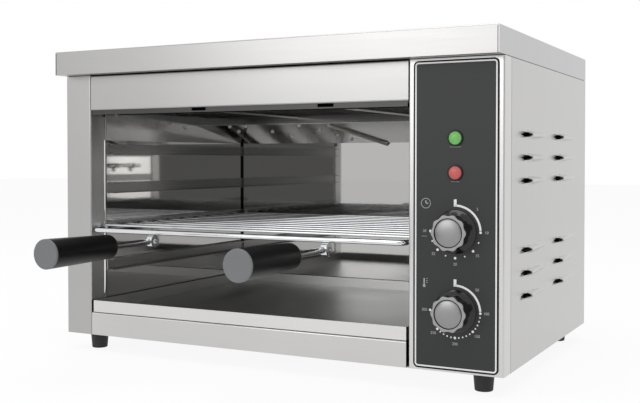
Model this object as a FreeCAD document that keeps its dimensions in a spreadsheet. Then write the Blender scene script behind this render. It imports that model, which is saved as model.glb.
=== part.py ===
import FreeCAD, Part
import math
import os
from types import SimpleNamespace

import Sketcher

# A counter-top grill toaster: an open-fronted steel cabinet with heat from above, a sliding wire
# rack with two grips, a crumb tray, and a control box on the right with a timer and a thermostat.
#
# Sizes are in millimetres. Pieces are first placed from the cabinet's own corner: X runs from the
# left side to the right, Y from the front face to the back and Z up from the cabinet's underside.
# Every piece is then moved by the same shift, so that the origin is the middle of the base.

SIZES = {
    # Cabinet
    "body_width": 475,
    "body_depth": 308,
    "body_height": 270,
    "casing_sheet": 1.0,
    "casing_gap": 0.5,
    "fold_radius": 0.6,
    "cut_overrun": 4,
    # Top cover
    "cover_height": 24.5,
    "cover_overhang": 16.5,
    "cover_edge_radius": 1.6,
    "cover_seam": 0.6,
    "tongue_height": 33,
    "tongue_rise": 18,
    "tongue_inset": 30,
    # Left pillar and side panels
    "pillar_width": 32.5,
    "pillar_return": 20.6,
    "side_flange": 14,
    # Right side panel and its louvres
    "joggle_depth": 13,
    "joint_gap": 0.6,
    "louvre_radius": 4.2,
    "louvre_tip_radius": 1.2,
    "louvre_length": 71,
    "louvre_mouth": 18,
    "louvre_mouth_radius": 1,
    "louvre_front": 70.5,
    "louvre_column_pitch": 117.4,
    "louvre_top": 205.3,
    "louvre_low_top": 102.2,
    "louvre_pitch": 20.6,
    # Header rail and lower front rail
    "header_height": 36,
    "header_lip": 18,
    "rail_height": 23.5,
    "rail_lip": 16,
    "rail_left_gap": 0.5,
    "rail_right_gap": 2.2,
    # Control box
    "control_width": 86,
    "control_wrap": 19,
    "overlay_margin_side": 4.7,
    "overlay_margin_end": 1.7,
    "overlay_thickness": 0.6,
    "overlay_radius": 4.5,
    "green_lamp_height": 201.2,
    "red_lamp_height": 171.6,
    "timer_height": 121.2,
    "thermostat_height": 52.8,
    # Signal lamps
    "lens_radius": 6.15,
    "lens_rim": 1.2,
    "lens_dome": 1.6,
    "lens_stem_radius": 4.4,
    "lens_stem_length": 9,
    "lamp_fit": 0.1,
    "lamp_holder_radius": 5.6,
    "lamp_holder_length": 24,
    "lamp_tab_length": 7,
    "lamp_tab_width": 4,
    "lamp_tab_thickness": 0.8,
    # Timer and thermostat bodies with their collars and nuts
    "switch_width": 44,
    "timer_depth": 38,
    "thermostat_depth": 31,
    "switch_corner_radius": 3,
    "collar_radius": 5,
    "collar_reach": 3.4,
    "collar_fit": 0.15,
    "nut_width": 14,
    "nut_thickness": 2.2,
    "nut_window_radius": 9.5,
    # Spindles and knobs
    "spindle_radius": 3,
    "spindle_fit": 0.05,
    "spindle_flat": 0.7,
    "spindle_in_switch": 16,
    "spindle_in_knob": 10,
    "knob_gap": 0.4,
    "knob_skirt_radius": 18.9,
    "knob_skirt_height": 3,
    "knob_neck_height": 1.6,
    "knob_radius": 16.4,
    "knob_height": 18.5,
    "knob_crown": 1.5,
    "knob_recess_radius": 10.5,
    "knob_recess_depth": 4.6,
    "knob_lobe_count": 10,
    "knob_lobe_radius": 4.5,
    "knob_lobe_depth": 1.3,
    "knob_cap_radius": 13,
    "knob_cap_seat": 1.2,
    "knob_cap_rise": 0.8,
    "knob_cap_edge": 0.7,
    # Cavity
    "cavity_sheet": 1.0,
    "cavity_setback": 0.6,
    "cavity_fold_radius": 3,
    "cavity_flange": 8,
    "cavity_back_gap": 10,
    "cavity_headroom": 25,
    "floor_height": 23.7,
    "floor_front_gap": 0.3,
    # Heater hood
    "hood_sheet": 0.8,
    "hood_headroom": 4.5,
    "hood_height": 37,
    "hood_side_inset": 2.5,
    "hood_rear_inset": 107,
    "hood_slope_height": 21,
    "hood_front_height": 11,
    "slot_pitch": 140,
    "slot_width": 16.5,
    "slot_height": 3,
    "slot_drop": 9.2,
    # Heating elements, their straps, bushes and studs
    "strap_width": 15,
    "strap_thickness": 1,
    "strap_tab": 2,
    "strap_lift": 10,
    "element_radius": 3.25,
    "element_bend": 14,
    "element_front_gap": 40.8,
    "element_rear_gap": 115,
    "element_left_gap": 24,
    "element_count": 3,
    "element_hole_fit": 0.6,
    "element_end": 14,
    "bush_radius": 6,
    "bush_flange_radius": 8,
    "bush_flange": 2.5,
    "bush_length": 12,
    "bush_fit": 0.1,
    "stud_radius": 1.8,
    "stud_length": 12,
    "stud_in_element": 4,
    # Rack runners
    "runner_sheet": 0.8,
    "runner_depth": 8,
    "runner_height": 11.5,
    "runner_first": 65.2,
    "runner_pitch": 40.9,
    "runner_count": 4,
    "runner_setback": 4.5,
    # Grill rack
    "rack_level": 1,
    "rack_rod_radius": 2.5,
    "rack_wire_radius": 1.3,
    "rack_lift": 0.3,
    "rack_side_gap": 1.5,
    "rack_front": 1,
    "rack_back_gap": 8,
    "rack_corner_radius": 7,
    "rack_wire_first": 21,
    "rack_wire_last": 1,
    "rack_wire_count": 11,
    # Rack handles
    "handle_offset": 98,
    "handle_drop": 8.9,
    "handle_rod_radius": 3,
    "handle_reach": 153,
    "handle_rod_in_grip": 60,
    "grip_fit": 0.05,
    "grip_radius": 13.3,
    "grip_start": 66,
    "grip_round": 5,
    "grip_cap_thickness": 2,
    "grip_cap_edge": 0.4,
    "eye_width": 6,
    "eye_bore_radius": 2.4,
    # Crumb tray
    "tray_sheet": 1.0,
    "tray_height": 12,
    "tray_lift": 0.3,
    "tray_left_gap": 3,
    "tray_back_gap": 3,
    # Thermostat bulb, clips and capillary
    "bulb_radius": 3,
    "bulb_length": 84,
    "bulb_setback": 38.8,
    "bulb_drop": 30.5,
    "bulb_wall_gap": 1.5,
    "clip_width": 8,
    "clip_thickness": 0.8,
    "clip_foot": 6,
    "clip_inset": 16,
    "capillary_radius": 0.9,
    "capillary_bend": 7,
    "capillary_hole_radius": 2.5,
    "capillary_run": 14,
    "capillary_loop_back": 150,
    # Terminal block and cable gland
    "block_length": 52,
    "block_width": 20,
    "block_height": 17,
    "block_back_gap": 40,
    "block_screw_count": 5,
    "block_hole_radius": 2,
    "block_hole_depth": 9,
    "gland_height": 34,
    "gland_radius": 9,
    "gland_bore_radius": 4,
    "gland_hex_width": 22,
    "gland_hex_length": 6,
    "gland_reach": 18,
    "gland_thread_radius": 7.5,
    "gland_thread_length": 10,
    "gland_nut_thickness": 4,
    "gland_edge": 2.5,
    "gland_fit": 0.1,
    # Feet
    "foot_height": 17.5,
    "foot_radius": 9.5,
    "foot_tip_radius": 8,
    "foot_edge_radius": 1,
    "foot_inset_side": 24.5,
    "foot_inset_end": 22.5,
    "foot_bore_radius": 4.6,
    "foot_bore_depth": 8,
    "foot_screw_radius": 2,
    "foot_screw_head_radius": 4,
    "foot_screw_head": 2.6,
    "foot_screw_reach": 5,
    "foot_screw_fit": 0.15,
    "foot_nut_width": 7,
    "foot_nut_thickness": 3.2,
    "foot_nut_clearance": 9,
    # Casing screws
    "screw_radius": 1.7,
    "screw_fit": 0.1,
    "screw_head_radius": 3.6,
    "screw_head": 2,
    "screw_reach": 6,
    "screw_slot_width": 0.9,
    "screw_slot_depth": 0.8,
    "screw_inset": 8,
    # Vents in the base and the rear panel
    "vent_length": 40,
    "vent_width": 4,
    "vent_pitch": 10,
    "vent_count": 6,
    "vent_front": 150,
    "vent_height": 98,
    # Internal leads
    "lead_radius": 1.1,
    "lead_bend": 8,
    "lead_spread": 9,
    "lead_run": 60,
}

PLACE_TOLERANCE = 0.001
FULL_TURN = 360

doc = FreeCAD.newDocument("grill_toaster")
sheet = doc.addObject("Spreadsheet::Sheet", "Sizes")
for row, (alias, number) in enumerate(SIZES.items(), start=1):
    sheet.set(f"A{row}", alias)
    sheet.set(f"B{row}", str(number))
    sheet.setAlias(f"B{row}", alias)
doc.recompute()


class Size:
    """A length that keeps its number together with the formula that gives it from the sheet."""

    def __init__(self, value, text):
        self.value = float(value)
        self.text = text

    @staticmethod
    def of(thing):
        return thing if isinstance(thing, Size) else Size(thing, repr(thing))

    def __add__(self, other):
        other = Size.of(other)
        return Size(self.value + other.value, f"({self.text} + {other.text})")

    def __sub__(self, other):
        other = Size.of(other)
        return Size(self.value - other.value, f"({self.text} - {other.text})")

    def __mul__(self, other):
        other = Size.of(other)
        return Size(self.value * other.value, f"({self.text} * {other.text})")

    def __truediv__(self, other):
        other = Size.of(other)
        return Size(self.value / other.value, f"({self.text} / {other.text})")

    def __radd__(self, other):
        return Size.of(other) + self

    def __rsub__(self, other):
        return Size.of(other) - self

    def __rmul__(self, other):
        return Size.of(other) * self

    def __neg__(self):
        return Size(-self.value, f"(0 - {self.text})")


s = SimpleNamespace(**{name: Size(sheet.get(name), "Sizes." + name) for name in SIZES})
ZERO = Size(0, "0")

# Places that several pieces share
opening_left = s.pillar_width
opening_right = s.body_width - s.control_width
opening_middle = (opening_left + opening_right) / 2
opening_top = s.body_height - s.header_height
panel_back = s.body_depth - s.casing_sheet
cavity_front = s.pillar_return + s.cavity_setback
cavity_back = panel_back - s.casing_sheet - s.cavity_back_gap + s.cavity_sheet
cavity_top = s.body_height - s.cavity_headroom
hood_top = cavity_top - s.hood_headroom
hood_bottom = hood_top - s.hood_height
slot_bottom = hood_top - s.slot_drop
bulb_start = cavity_front + s.bulb_setback
bulb_height = hood_bottom - s.bulb_drop
control_middle = s.body_width - s.control_width / 2
rack_level_bottom = s.runner_first + s.runner_pitch * s.rack_level
rack_height = rack_level_bottom + s.runner_sheet + s.rack_lift + s.rack_rod_radius
rack_left = opening_left + s.runner_sheet + s.rack_side_gap
rack_right = opening_right - s.runner_sheet - s.rack_side_gap
rack_back = cavity_back - s.rack_back_gap
wire_height = rack_height + s.rack_rod_radius + s.rack_wire_radius
handle_height = rack_height - s.handle_drop
eye_radius = s.handle_drop - s.rack_rod_radius
strap_top = slot_bottom + s.strap_thickness
element_height = strap_top + s.element_radius
knob_back = s.overlay_thickness + s.knob_gap
tray_bottom = s.floor_height + s.tray_lift
cover_bottom = s.body_height + s.casing_gap
cover_top = s.body_height + s.cover_height
foot_back = s.body_depth - s.foot_inset_end

SHIFT = (
    -(s.body_width + s.louvre_radius) / 2,
    -(s.body_depth + s.gland_reach - s.handle_reach) / 2,
    s.foot_height,
)

pieces = []


# Small helpers: binding, primitives, booleans and groups

def bind(item, prop, size):
    item.setExpression(prop, Size.of(size).text)


def place(item, spot, turn=None):
    if turn is not None:
        item.Placement = FreeCAD.Placement(FreeCAD.Vector(), turn)
    for letter, size in zip("xyz", spot):
        bind(item, "Placement.Base." + letter, size)
    return item


def finish(label, item, spot=(ZERO, ZERO, ZERO), turn=None):
    """Name a whole piece, and put it in the frame whose origin is the middle of the base."""
    item.Label = label
    place(item, [shift + size for shift, size in zip(SHIFT, spot)], turn)
    pieces.append(item)
    return item


def block(name, low, span):
    item = doc.addObject("Part::Box", name)
    for prop, size in zip(("Length", "Width", "Height"), span):
        bind(item, prop, size)
    return place(item, low)


UPRIGHT = FreeCAD.Rotation(FreeCAD.Vector(0, 0, 1), FreeCAD.Vector(0, 0, 1))
TO_RIGHT = FreeCAD.Rotation(FreeCAD.Vector(0, 0, 1), FreeCAD.Vector(1, 0, 0))
TO_BACK = FreeCAD.Rotation(FreeCAD.Vector(0, 0, 1), FreeCAD.Vector(0, 1, 0))
TO_FRONT = FreeCAD.Rotation(FreeCAD.Vector(0, 0, 1), FreeCAD.Vector(0, -1, 0))


def rod(name, spot, radius, length, turn=UPRIGHT):
    item = doc.addObject("Part::Cylinder", name)
    bind(item, "Radius", radius)
    bind(item, "Height", length)
    return place(item, spot, turn)


def taper(name, spot, radius, tip_radius, length, turn=UPRIGHT):
    item = doc.addObject("Part::Cone", name)
    bind(item, "Radius1", radius)
    bind(item, "Radius2", tip_radius)
    bind(item, "Height", length)
    return place(item, spot, turn)


def hexagon(name, spot, width, length, turn=UPRIGHT):
    """A hexagonal bar, given by the distance across its flats."""
    item = doc.addObject("Part::Prism", name)
    item.Polygon = 6
    bind(item, "Circumradius", width / math.sqrt(3))
    bind(item, "Height", length)
    return place(item, spot, turn)


def fuse(name, items):
    item = doc.addObject("Part::MultiFuse", name)
    item.Shapes = items
    item.Refine = True
    return item


def cut(name, base, tools):
    item = doc.addObject("Part::Cut", name)
    item.Base = base
    item.Tool = tools[0] if len(tools) == 1 else fuse(name + "_cuts", tools)
    item.Refine = True
    return item


def group(name, items):
    item = doc.addObject("Part::Compound", name)
    item.Links = items
    return item


def round_off(name, item, radius, wanted):
    """Fillet the edges of a primitive that a test picks."""
    doc.recompute()
    rounded = doc.addObject("Part::Fillet", name)
    rounded.Base = item
    numbers = [at for at, edge in enumerate(item.Shape.Edges, start=1) if wanted(edge)]
    rounded.Edges = [(at, Size.of(radius).value, Size.of(radius).value) for at in numbers]
    return rounded


# Helpers for bodies made from sketches

def new_body(name):
    return doc.addObject("PartDesign::Body", name)


def origin_part(item, role):
    return next(part for part in item.Origin.OriginFeatures if part.Role == role)


def new_sketch(item, name, role, offset=None):
    drawn = item.newObject("Sketcher::SketchObject", name)
    drawn.AttachmentSupport = (origin_part(item, role), "")
    drawn.MapMode = "FlatFace"
    if offset is not None:
        bind(drawn, "AttachmentOffset.Base.z", offset)
    return drawn


def fix_point(drawn, geometry, point, across, along):
    for kind, size in (("DistanceX", across), ("DistanceY", along)):
        size = Size.of(size)
        number = drawn.addConstraint(Sketcher.Constraint(kind, -1, 1, geometry, point, size.value))
        bind(drawn, f"Constraints[{number}]", size)


def outline(drawn, corners):
    """A closed outline through corners, each a pair of sizes, held to the sheet."""
    spots = [FreeCAD.Vector(Size.of(a).value, Size.of(b).value, 0) for a, b in corners]
    lines = []
    for start, end in zip(spots, spots[1:] + spots[:1]):
        lines.append(drawn.addGeometry(Part.LineSegment(start, end), False))
    for at, line in enumerate(lines):
        following = lines[(at + 1) % len(lines)]
        drawn.addConstraint(Sketcher.Constraint("Coincident", line, 2, following, 1))
    for line, (across, along) in zip(lines, corners):
        fix_point(drawn, line, 1, across, along)


def rectangle(drawn, left, low, right, high):
    outline(drawn, [(left, low), (right, low), (right, high), (left, high)])


def circle(drawn, across, along, radius):
    centre = FreeCAD.Vector(Size.of(across).value, Size.of(along).value, 0)
    ring = Part.Circle(centre, FreeCAD.Vector(0, 0, 1), Size.of(radius).value)
    geometry = drawn.addGeometry(ring, False)
    number = drawn.addConstraint(Sketcher.Constraint("Radius", geometry, Size.of(radius).value))
    bind(drawn, f"Constraints[{number}]", radius)
    fix_point(drawn, geometry, 3, across, along)


def nearer_end(drawn, arc, spot):
    """The number, 1 or 2, of the end of an arc that lies at a spot."""
    return min((1, 2), key=lambda end: drawn.getPoint(arc, end).distanceToPoint(spot))


def pad(item, drawn, length, backwards=False):
    made = item.newObject("PartDesign::Pad", drawn.Name + "_pad")
    made.Profile = drawn
    made.Reversed = backwards
    bind(made, "Length", length)
    doc.recompute()
    return made


def pocket(item, drawn, length, backwards=False):
    before = item.Tip.Shape.Volume
    made = item.newObject("PartDesign::Pocket", drawn.Name + "_pocket")
    made.Profile = drawn
    made.Reversed = backwards
    bind(made, "Length", length)
    doc.recompute()
    if not made.Shape.Volume < before:
        raise RuntimeError(f"{made.Name} cuts nothing")
    return made


def revolve(item, drawn, axis="V_Axis"):
    made = item.newObject("PartDesign::Revolution", drawn.Name + "_turned")
    made.Profile = drawn
    made.ReferenceAxis = (drawn, [axis])
    made.Angle = FULL_TURN
    doc.recompute()
    return made


def fillet(item, radius, wanted):
    """Round the edges of the body so far that a test picks."""
    doc.recompute()
    base = item.Tip
    names = [f"Edge{at}" for at, edge in enumerate(base.Shape.Edges, start=1) if wanted(edge)]
    made = item.newObject("PartDesign::Fillet", base.Name + "_round")
    made.Base = (base, names)
    bind(made, "Radius", radius)
    doc.recompute()
    return made


def near(first, second):
    return abs(first - second) < PLACE_TOLERANCE


def upright_at(*corners):
    """A test for upright edges over the given corners."""
    def wanted(edge):
        return any(
            all(near(v.X, Size.of(a).value) and near(v.Y, Size.of(b).value) for v in edge.Vertexes)
            for a, b in corners
        )
    return wanted


def crosswise_at(*corners):
    """A test for edges that run along X through the given places in Y and Z."""
    def wanted(edge):
        return any(
            all(near(v.Y, Size.of(a).value) and near(v.Z, Size.of(b).value) for v in edge.Vertexes)
            for a, b in corners
        )
    return wanted


def rim_at(letter, size, radius):
    """A test for round edges of a given radius that lie in one plane."""
    def wanted(edge):
        curve = edge.Curve
        return (
            isinstance(curve, Part.Circle)
            and near(curve.Radius, Size.of(radius).value)
            and all(near(getattr(v, letter), Size.of(size).value) for v in edge.Vertexes)
        )
    return wanted


def tube(points, radius, bend):
    """A solid round tube along straight runs that are joined by tangent arcs."""
    edges = []
    start = points[0]
    for before, corner, after in zip(points, points[1:], points[2:]):
        inward = (before - corner).normalize()
        outward = (after - corner).normalize()
        half = (math.pi - inward.getAngle(outward)) / 2
        reach = bend * math.tan(half)
        first = corner + inward * reach
        last = corner + outward * reach
        middle_way = (inward + outward).normalize()
        middle = corner + middle_way * (bend / math.cos(half) - bend)
        edges.append(Part.LineSegment(start, first).toShape())
        edges.append(Part.Arc(first, middle, last).toShape())
        start = last
    edges.append(Part.LineSegment(start, points[-1]).toShape())
    path = Part.Wire(edges)
    section = Part.Wire([Part.Circle(points[0], points[1] - points[0], radius).toShape()])
    solid = path.makePipeShell([section], True, True)
    length = sum(edge.Length for edge in edges)
    expected = math.pi * radius ** 2 * length
    if abs(solid.Volume / expected - 1) > 0.01:
        raise RuntimeError("a tube does not have the volume of its path")
    return solid


def spot_of(*sizes):
    return FreeCAD.Vector(*[Size.of(size).value for size in sizes])


def shaped(label, shape):
    """A piece whose shape is set directly, moved by the same shift as the rest."""
    item = doc.addObject("Part::Feature", label)
    item.Shape = shape
    return finish(label, item)


# Casing

def make_top_cover():
    """A folded cover, open below, that overhangs the front, with open seams at its front corners."""
    item = new_body("top_cover")
    front = -s.cover_overhang
    drawn = new_sketch(item, "cover_outline", "XY_Plane", cover_bottom)
    rectangle(drawn, ZERO, front, s.body_width, s.body_depth)
    pad(item, drawn, cover_top - cover_bottom)
    high = cover_top.value
    fillet(item, s.cover_edge_radius, lambda edge: all(near(v.Z, high) for v in edge.Vertexes))
    drawn = new_sketch(item, "cover_hollow", "XY_Plane", cover_top - s.casing_sheet)
    sheet_in = s.casing_sheet
    rectangle(drawn, sheet_in, front + sheet_in, s.body_width - sheet_in, s.body_depth - sheet_in)
    pocket(item, drawn, s.cover_height)
    drawn = new_sketch(item, "cover_front_lip", "XY_Plane", cover_bottom)
    right_end = s.body_width - sheet_in - s.cover_seam
    rectangle(drawn, sheet_in + s.cover_seam, front, right_end, -s.casing_gap)
    pad(item, drawn, s.casing_sheet)
    for side, seam in (("left", sheet_in), ("right", right_end)):
        drawn = new_sketch(item, f"cover_seam_{side}", "XY_Plane", cover_top - s.cover_edge_radius)
        rectangle(drawn, seam, front - s.cut_overrun, seam + s.cover_seam, front + sheet_in * 2)
        pocket(item, drawn, s.cover_height)
    holes = new_sketch(item, "cover_screw_holes", "XZ_Plane", s.cut_overrun - s.body_depth)
    for across, height in cover_screw_places():
        circle(holes, across, height, s.screw_radius + s.screw_fit)
    pocket(item, holes, s.cut_overrun * 2)
    return finish("top_cover", item)


def make_left_side_panel():
    """Side sheet that wraps round to the pillar and returns inwards beside the opening."""
    item = new_body("left_side_panel")
    wall = s.casing_sheet
    drawn = new_sketch(item, "left_side_outline", "XY_Plane")
    outline(drawn, [
        (ZERO, ZERO), (opening_left, ZERO), (opening_left, s.pillar_return),
        (opening_left - wall, s.pillar_return), (opening_left - wall, wall), (wall, wall),
        (wall, panel_back - wall), (wall + s.side_flange, panel_back - wall),
        (wall + s.side_flange, panel_back), (ZERO, panel_back),
    ])
    pad(item, drawn, s.body_height)
    fillet(item, s.fold_radius + wall, upright_at((ZERO, ZERO), (opening_left, ZERO), (ZERO, panel_back)))
    inner = upright_at((wall, wall), (opening_left - wall, wall), (wall, panel_back - wall))
    fillet(item, s.fold_radius, inner)
    drawn = new_sketch(item, "left_tongue", "YZ_Plane", wall)
    low = s.body_height - s.tongue_height + s.tongue_rise
    rectangle(drawn, s.tongue_inset, low, panel_back - s.tongue_inset, s.body_height + s.tongue_rise)
    pad(item, drawn, wall)
    holes = new_sketch(item, "left_flange_holes", "XZ_Plane", s.cut_overrun - panel_back)
    for height in screw_heights():
        circle(holes, s.screw_inset, height, s.screw_radius + s.screw_fit)
    pocket(item, holes, s.cut_overrun * 2)
    return finish("left_side_panel", item)


def louvre_places():
    for column in range(2):
        along = s.louvre_front + s.louvre_column_pitch * column
        for top in (s.louvre_top, s.louvre_low_top):
            for row in range(3):
                yield along, top - s.louvre_pitch * row


def make_right_side_panel():
    """Flat side sheet with louvres pressed outwards, each open towards the front."""
    wall = s.casing_sheet
    outer = s.body_width
    front = s.control_wrap + s.joint_gap
    sheet_block = block(
        "right_sheet", (outer - wall, front, ZERO), (wall, panel_back - front, s.body_height))
    joggle = block(
        "right_joggle", (outer - wall * 2, front - s.joggle_depth, ZERO),
        (wall, s.joggle_depth + wall, s.body_height))
    flange = block(
        "right_flange", (outer - wall - s.side_flange, panel_back - wall, ZERO),
        (s.side_flange, wall, s.body_height))
    low = s.body_height - s.tongue_height + s.tongue_rise
    raised = block(
        "right_tongue", (outer - wall * 2, s.tongue_inset, low),
        (wall, panel_back - s.tongue_inset * 2, s.tongue_height))
    skins = [sheet_block, joggle, flange, raised]
    hollows = []
    for number, (along, height) in enumerate(louvre_places(), start=1):
        spot = (outer, along, height)
        skins.append(taper(
            f"louvre_skin_{number}", spot, s.louvre_radius, s.louvre_tip_radius, s.louvre_length, TO_BACK))
        hollows.append(taper(
            f"louvre_mouth_{number}", (outer, along - s.louvre_mouth, height), s.louvre_mouth_radius,
            s.louvre_radius - wall / 2, s.louvre_mouth, TO_BACK))
        hollows.append(taper(
            f"louvre_hollow_{number}", spot, s.louvre_radius - wall / 2, s.louvre_tip_radius - wall / 2,
            s.louvre_length - wall * 2, TO_BACK))
    for number, height in enumerate(screw_heights(), start=1):
        hollows.append(rod(
            f"right_flange_hole_{number}",
            (outer - s.screw_inset, panel_back - s.cut_overrun, height),
            s.screw_radius + s.screw_fit, s.cut_overrun * 2, TO_BACK))
    solid = fuse("right_side_skins", skins)
    wrap = s.control_wrap + s.joggle_depth
    inside = block(
        "right_side_inside", (outer - wall - s.louvre_radius * 2, wrap, ZERO),
        (s.louvre_radius * 2, panel_back - wall * 2 - wrap, s.body_height - s.tongue_height))
    return finish("right_side_panel", cut("right_side_panel_cut", cut(
        "right_side_outer", solid, [inside]), hollows))


def screw_heights():
    return [s.body_height / 8, s.body_height / 2, s.body_height * 7 / 8]


def cover_screw_places():
    height = s.body_height + s.tongue_rise / 2
    return [(s.body_width / 6, height), (s.body_width / 2, height), (s.body_width * 5 / 6, height)]


def make_rear_panel():
    """Back sheet with vents for the control box, a hole for the gland and a tongue for the cover."""
    wall = s.casing_sheet
    plate = block("rear_sheet", (ZERO, panel_back, ZERO), (s.body_width, wall, s.body_height))
    low = s.body_height - s.tongue_height + s.tongue_rise
    raised = block(
        "rear_tongue", (s.tongue_inset, panel_back - wall, low),
        (s.body_width - s.tongue_inset * 2, wall, s.tongue_height))
    tools = []
    deep = s.cut_overrun * 2
    start = panel_back - s.cut_overrun
    for number in range(int(s.vent_count.value)):
        height = s.vent_height + s.vent_pitch * number
        tools.append(block(
            f"rear_vent_{number}", (control_middle - s.vent_length / 2, start, height),
            (s.vent_length, deep, s.vent_width)))
    tools.append(rod(
        "rear_gland_hole", (control_middle, start, s.gland_height),
        s.gland_thread_radius + s.gland_fit, deep, TO_BACK))
    for number, (across, height) in enumerate(rear_screw_places() + cover_screw_places()):
        tools.append(rod(
            f"rear_screw_hole_{number}", (across, start, height),
            s.screw_radius + s.screw_fit, deep, TO_BACK))
    return finish("rear_panel", cut("rear_panel_cut", fuse("rear_panel_skins", [plate, raised]), tools))


def rear_screw_places():
    return [(across, height) for across in (s.screw_inset, s.body_width - s.screw_inset)
            for height in screw_heights()]


def foot_places():
    return [(across, along) for across in (s.foot_inset_side, s.body_width - s.foot_inset_side)
            for along in (s.foot_inset_end, foot_back)]


def make_base_plate():
    """Bottom sheet between the side panels, notched round their returns, with vents and foot holes."""
    wall = s.casing_sheet
    edge = wall + s.casing_gap
    plate = block(
        "base_sheet", (edge, edge, ZERO),
        (s.body_width - edge * 2 - wall, panel_back - edge * 2, wall))
    tools = []
    deep = wall * 3
    for name, across in (("left", opening_left - wall), ("right", opening_right)):
        tools.append(block(
            f"base_notch_{name}", (across - s.casing_gap / 2, ZERO, -wall),
            (wall + s.casing_gap, s.pillar_return + s.casing_gap / 2, deep)))
    for number in range(int(s.vent_count.value)):
        along = s.vent_front + s.vent_pitch * number
        tools.append(block(
            f"base_vent_{number}", (control_middle - s.vent_length / 2, along, -wall),
            (s.vent_length, s.vent_width, deep)))
    for number, (across, along) in enumerate(foot_places()):
        tools.append(rod(
            f"base_foot_hole_{number}", (across, along, -wall),
            s.foot_screw_radius + s.foot_screw_fit, deep))
    return finish("base_plate", cut("base_plate_cut", plate, tools))


def make_header_rail():
    """Channel over the opening: front face with a lip turned back at the top and at the bottom."""
    item = new_body("header_rail")
    wall = s.casing_sheet
    top = s.body_height
    drawn = new_sketch(item, "header_profile", "YZ_Plane", opening_left + s.rail_left_gap)
    outline(drawn, [
        (ZERO, opening_top), (s.header_lip, opening_top), (s.header_lip, opening_top + wall),
        (wall, opening_top + wall), (wall, top - wall), (s.header_lip, top - wall),
        (s.header_lip, top), (ZERO, top),
    ])
    pad(item, drawn, opening_right - opening_left - s.rail_left_gap * 2)
    fillet(item, s.fold_radius + wall, crosswise_at((ZERO, opening_top), (ZERO, top)))
    fillet(item, s.fold_radius, crosswise_at((wall, opening_top + wall), (wall, top - wall)))
    return finish("header_rail", item)


def make_lower_front_rail():
    """Front strip under the crumb tray with a lip turned back at its top edge and its foot."""
    item = new_body("lower_front_rail")
    wall = s.casing_sheet
    drawn = new_sketch(item, "rail_profile", "YZ_Plane", opening_left + s.rail_left_gap)
    outline(drawn, [
        (ZERO, ZERO), (wall, ZERO), (wall, s.rail_height - wall),
        (s.rail_lip, s.rail_height - wall), (s.rail_lip, s.rail_height), (ZERO, s.rail_height),
    ])
    pad(item, drawn, opening_right - opening_left - s.rail_left_gap - s.rail_right_gap)
    fillet(item, s.fold_radius + wall, crosswise_at((ZERO, s.rail_height)))
    fillet(item, s.fold_radius, crosswise_at((wall, s.rail_height - wall)))
    return finish("lower_front_rail", item)


# Control box

def make_control_panel():
    """Front sheet of the control box, returned beside the opening and wrapped round the corner."""
    item = new_body("control_panel")
    wall = s.casing_sheet
    right = s.body_width
    drawn = new_sketch(item, "control_outline", "XY_Plane")
    outline(drawn, [
        (opening_right, ZERO), (right, ZERO), (right, s.control_wrap), (right - wall, s.control_wrap),
        (right - wall, wall), (opening_right + wall, wall), (opening_right + wall, s.pillar_return),
        (opening_right, s.pillar_return),
    ])
    pad(item, drawn, s.body_height)
    fillet(item, s.fold_radius + wall, upright_at((opening_right, ZERO), (right, ZERO)))
    fillet(item, s.fold_radius, upright_at((opening_right + wall, wall), (right - wall, wall)))
    holes = new_sketch(item, "control_holes", "XZ_Plane", s.cut_overrun)
    for height in (s.timer_height, s.thermostat_height):
        circle(holes, control_middle, height, s.collar_radius + s.collar_fit)
    for height in (s.green_lamp_height, s.red_lamp_height):
        circle(holes, control_middle, height, s.lens_stem_radius + s.lamp_fit)
    pocket(item, holes, s.cut_overrun * 2)
    return finish("control_panel", item)


def make_control_overlay():
    """Thin plate with rounded corners that covers the front of the control box."""
    item = new_body("control_overlay")
    drawn = new_sketch(item, "overlay_outline", "XZ_Plane")
    left = opening_right + s.overlay_margin_side
    right = s.body_width - s.overlay_margin_side
    low = s.overlay_margin_end
    high = s.body_height - s.overlay_margin_end
    rectangle(drawn, left, low, right, high)
    pad(item, drawn, s.overlay_thickness)

    def corner(edge):
        first, last = edge.Vertexes[0], edge.Vertexes[-1]
        return near(first.X, last.X) and near(first.Z, last.Z)

    fillet(item, s.overlay_radius, corner)
    holes = new_sketch(item, "overlay_holes", "XZ_Plane", s.cut_overrun)
    for height in (s.timer_height, s.thermostat_height):
        circle(holes, control_middle, height, s.nut_window_radius)
    for height in (s.green_lamp_height, s.red_lamp_height):
        circle(holes, control_middle, height, s.lens_stem_radius + s.lamp_fit)
    pocket(item, holes, s.cut_overrun * 2)
    return finish("control_overlay", item)


def make_lamp_lens(label, height):
    """Domed lens with a rim on the overlay and a stem through the panel."""
    item = new_body(label)
    drawn = new_sketch(item, label + "_profile", "XY_Plane")
    rim = s.lens_radius
    outline(drawn, [
        (ZERO, s.lens_stem_length), (s.lens_stem_radius, s.lens_stem_length),
        (s.lens_stem_radius, ZERO), (rim, ZERO), (rim, -s.lens_rim),
        (rim - s.lens_rim, -s.lens_rim - s.lens_dome * 2 / 3),
        (rim / 3, -s.lens_rim - s.lens_dome), (ZERO, -s.lens_rim - s.lens_dome),
    ])
    revolve(item, drawn)
    return finish(label, item, (control_middle, -s.overlay_thickness, height))


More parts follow.
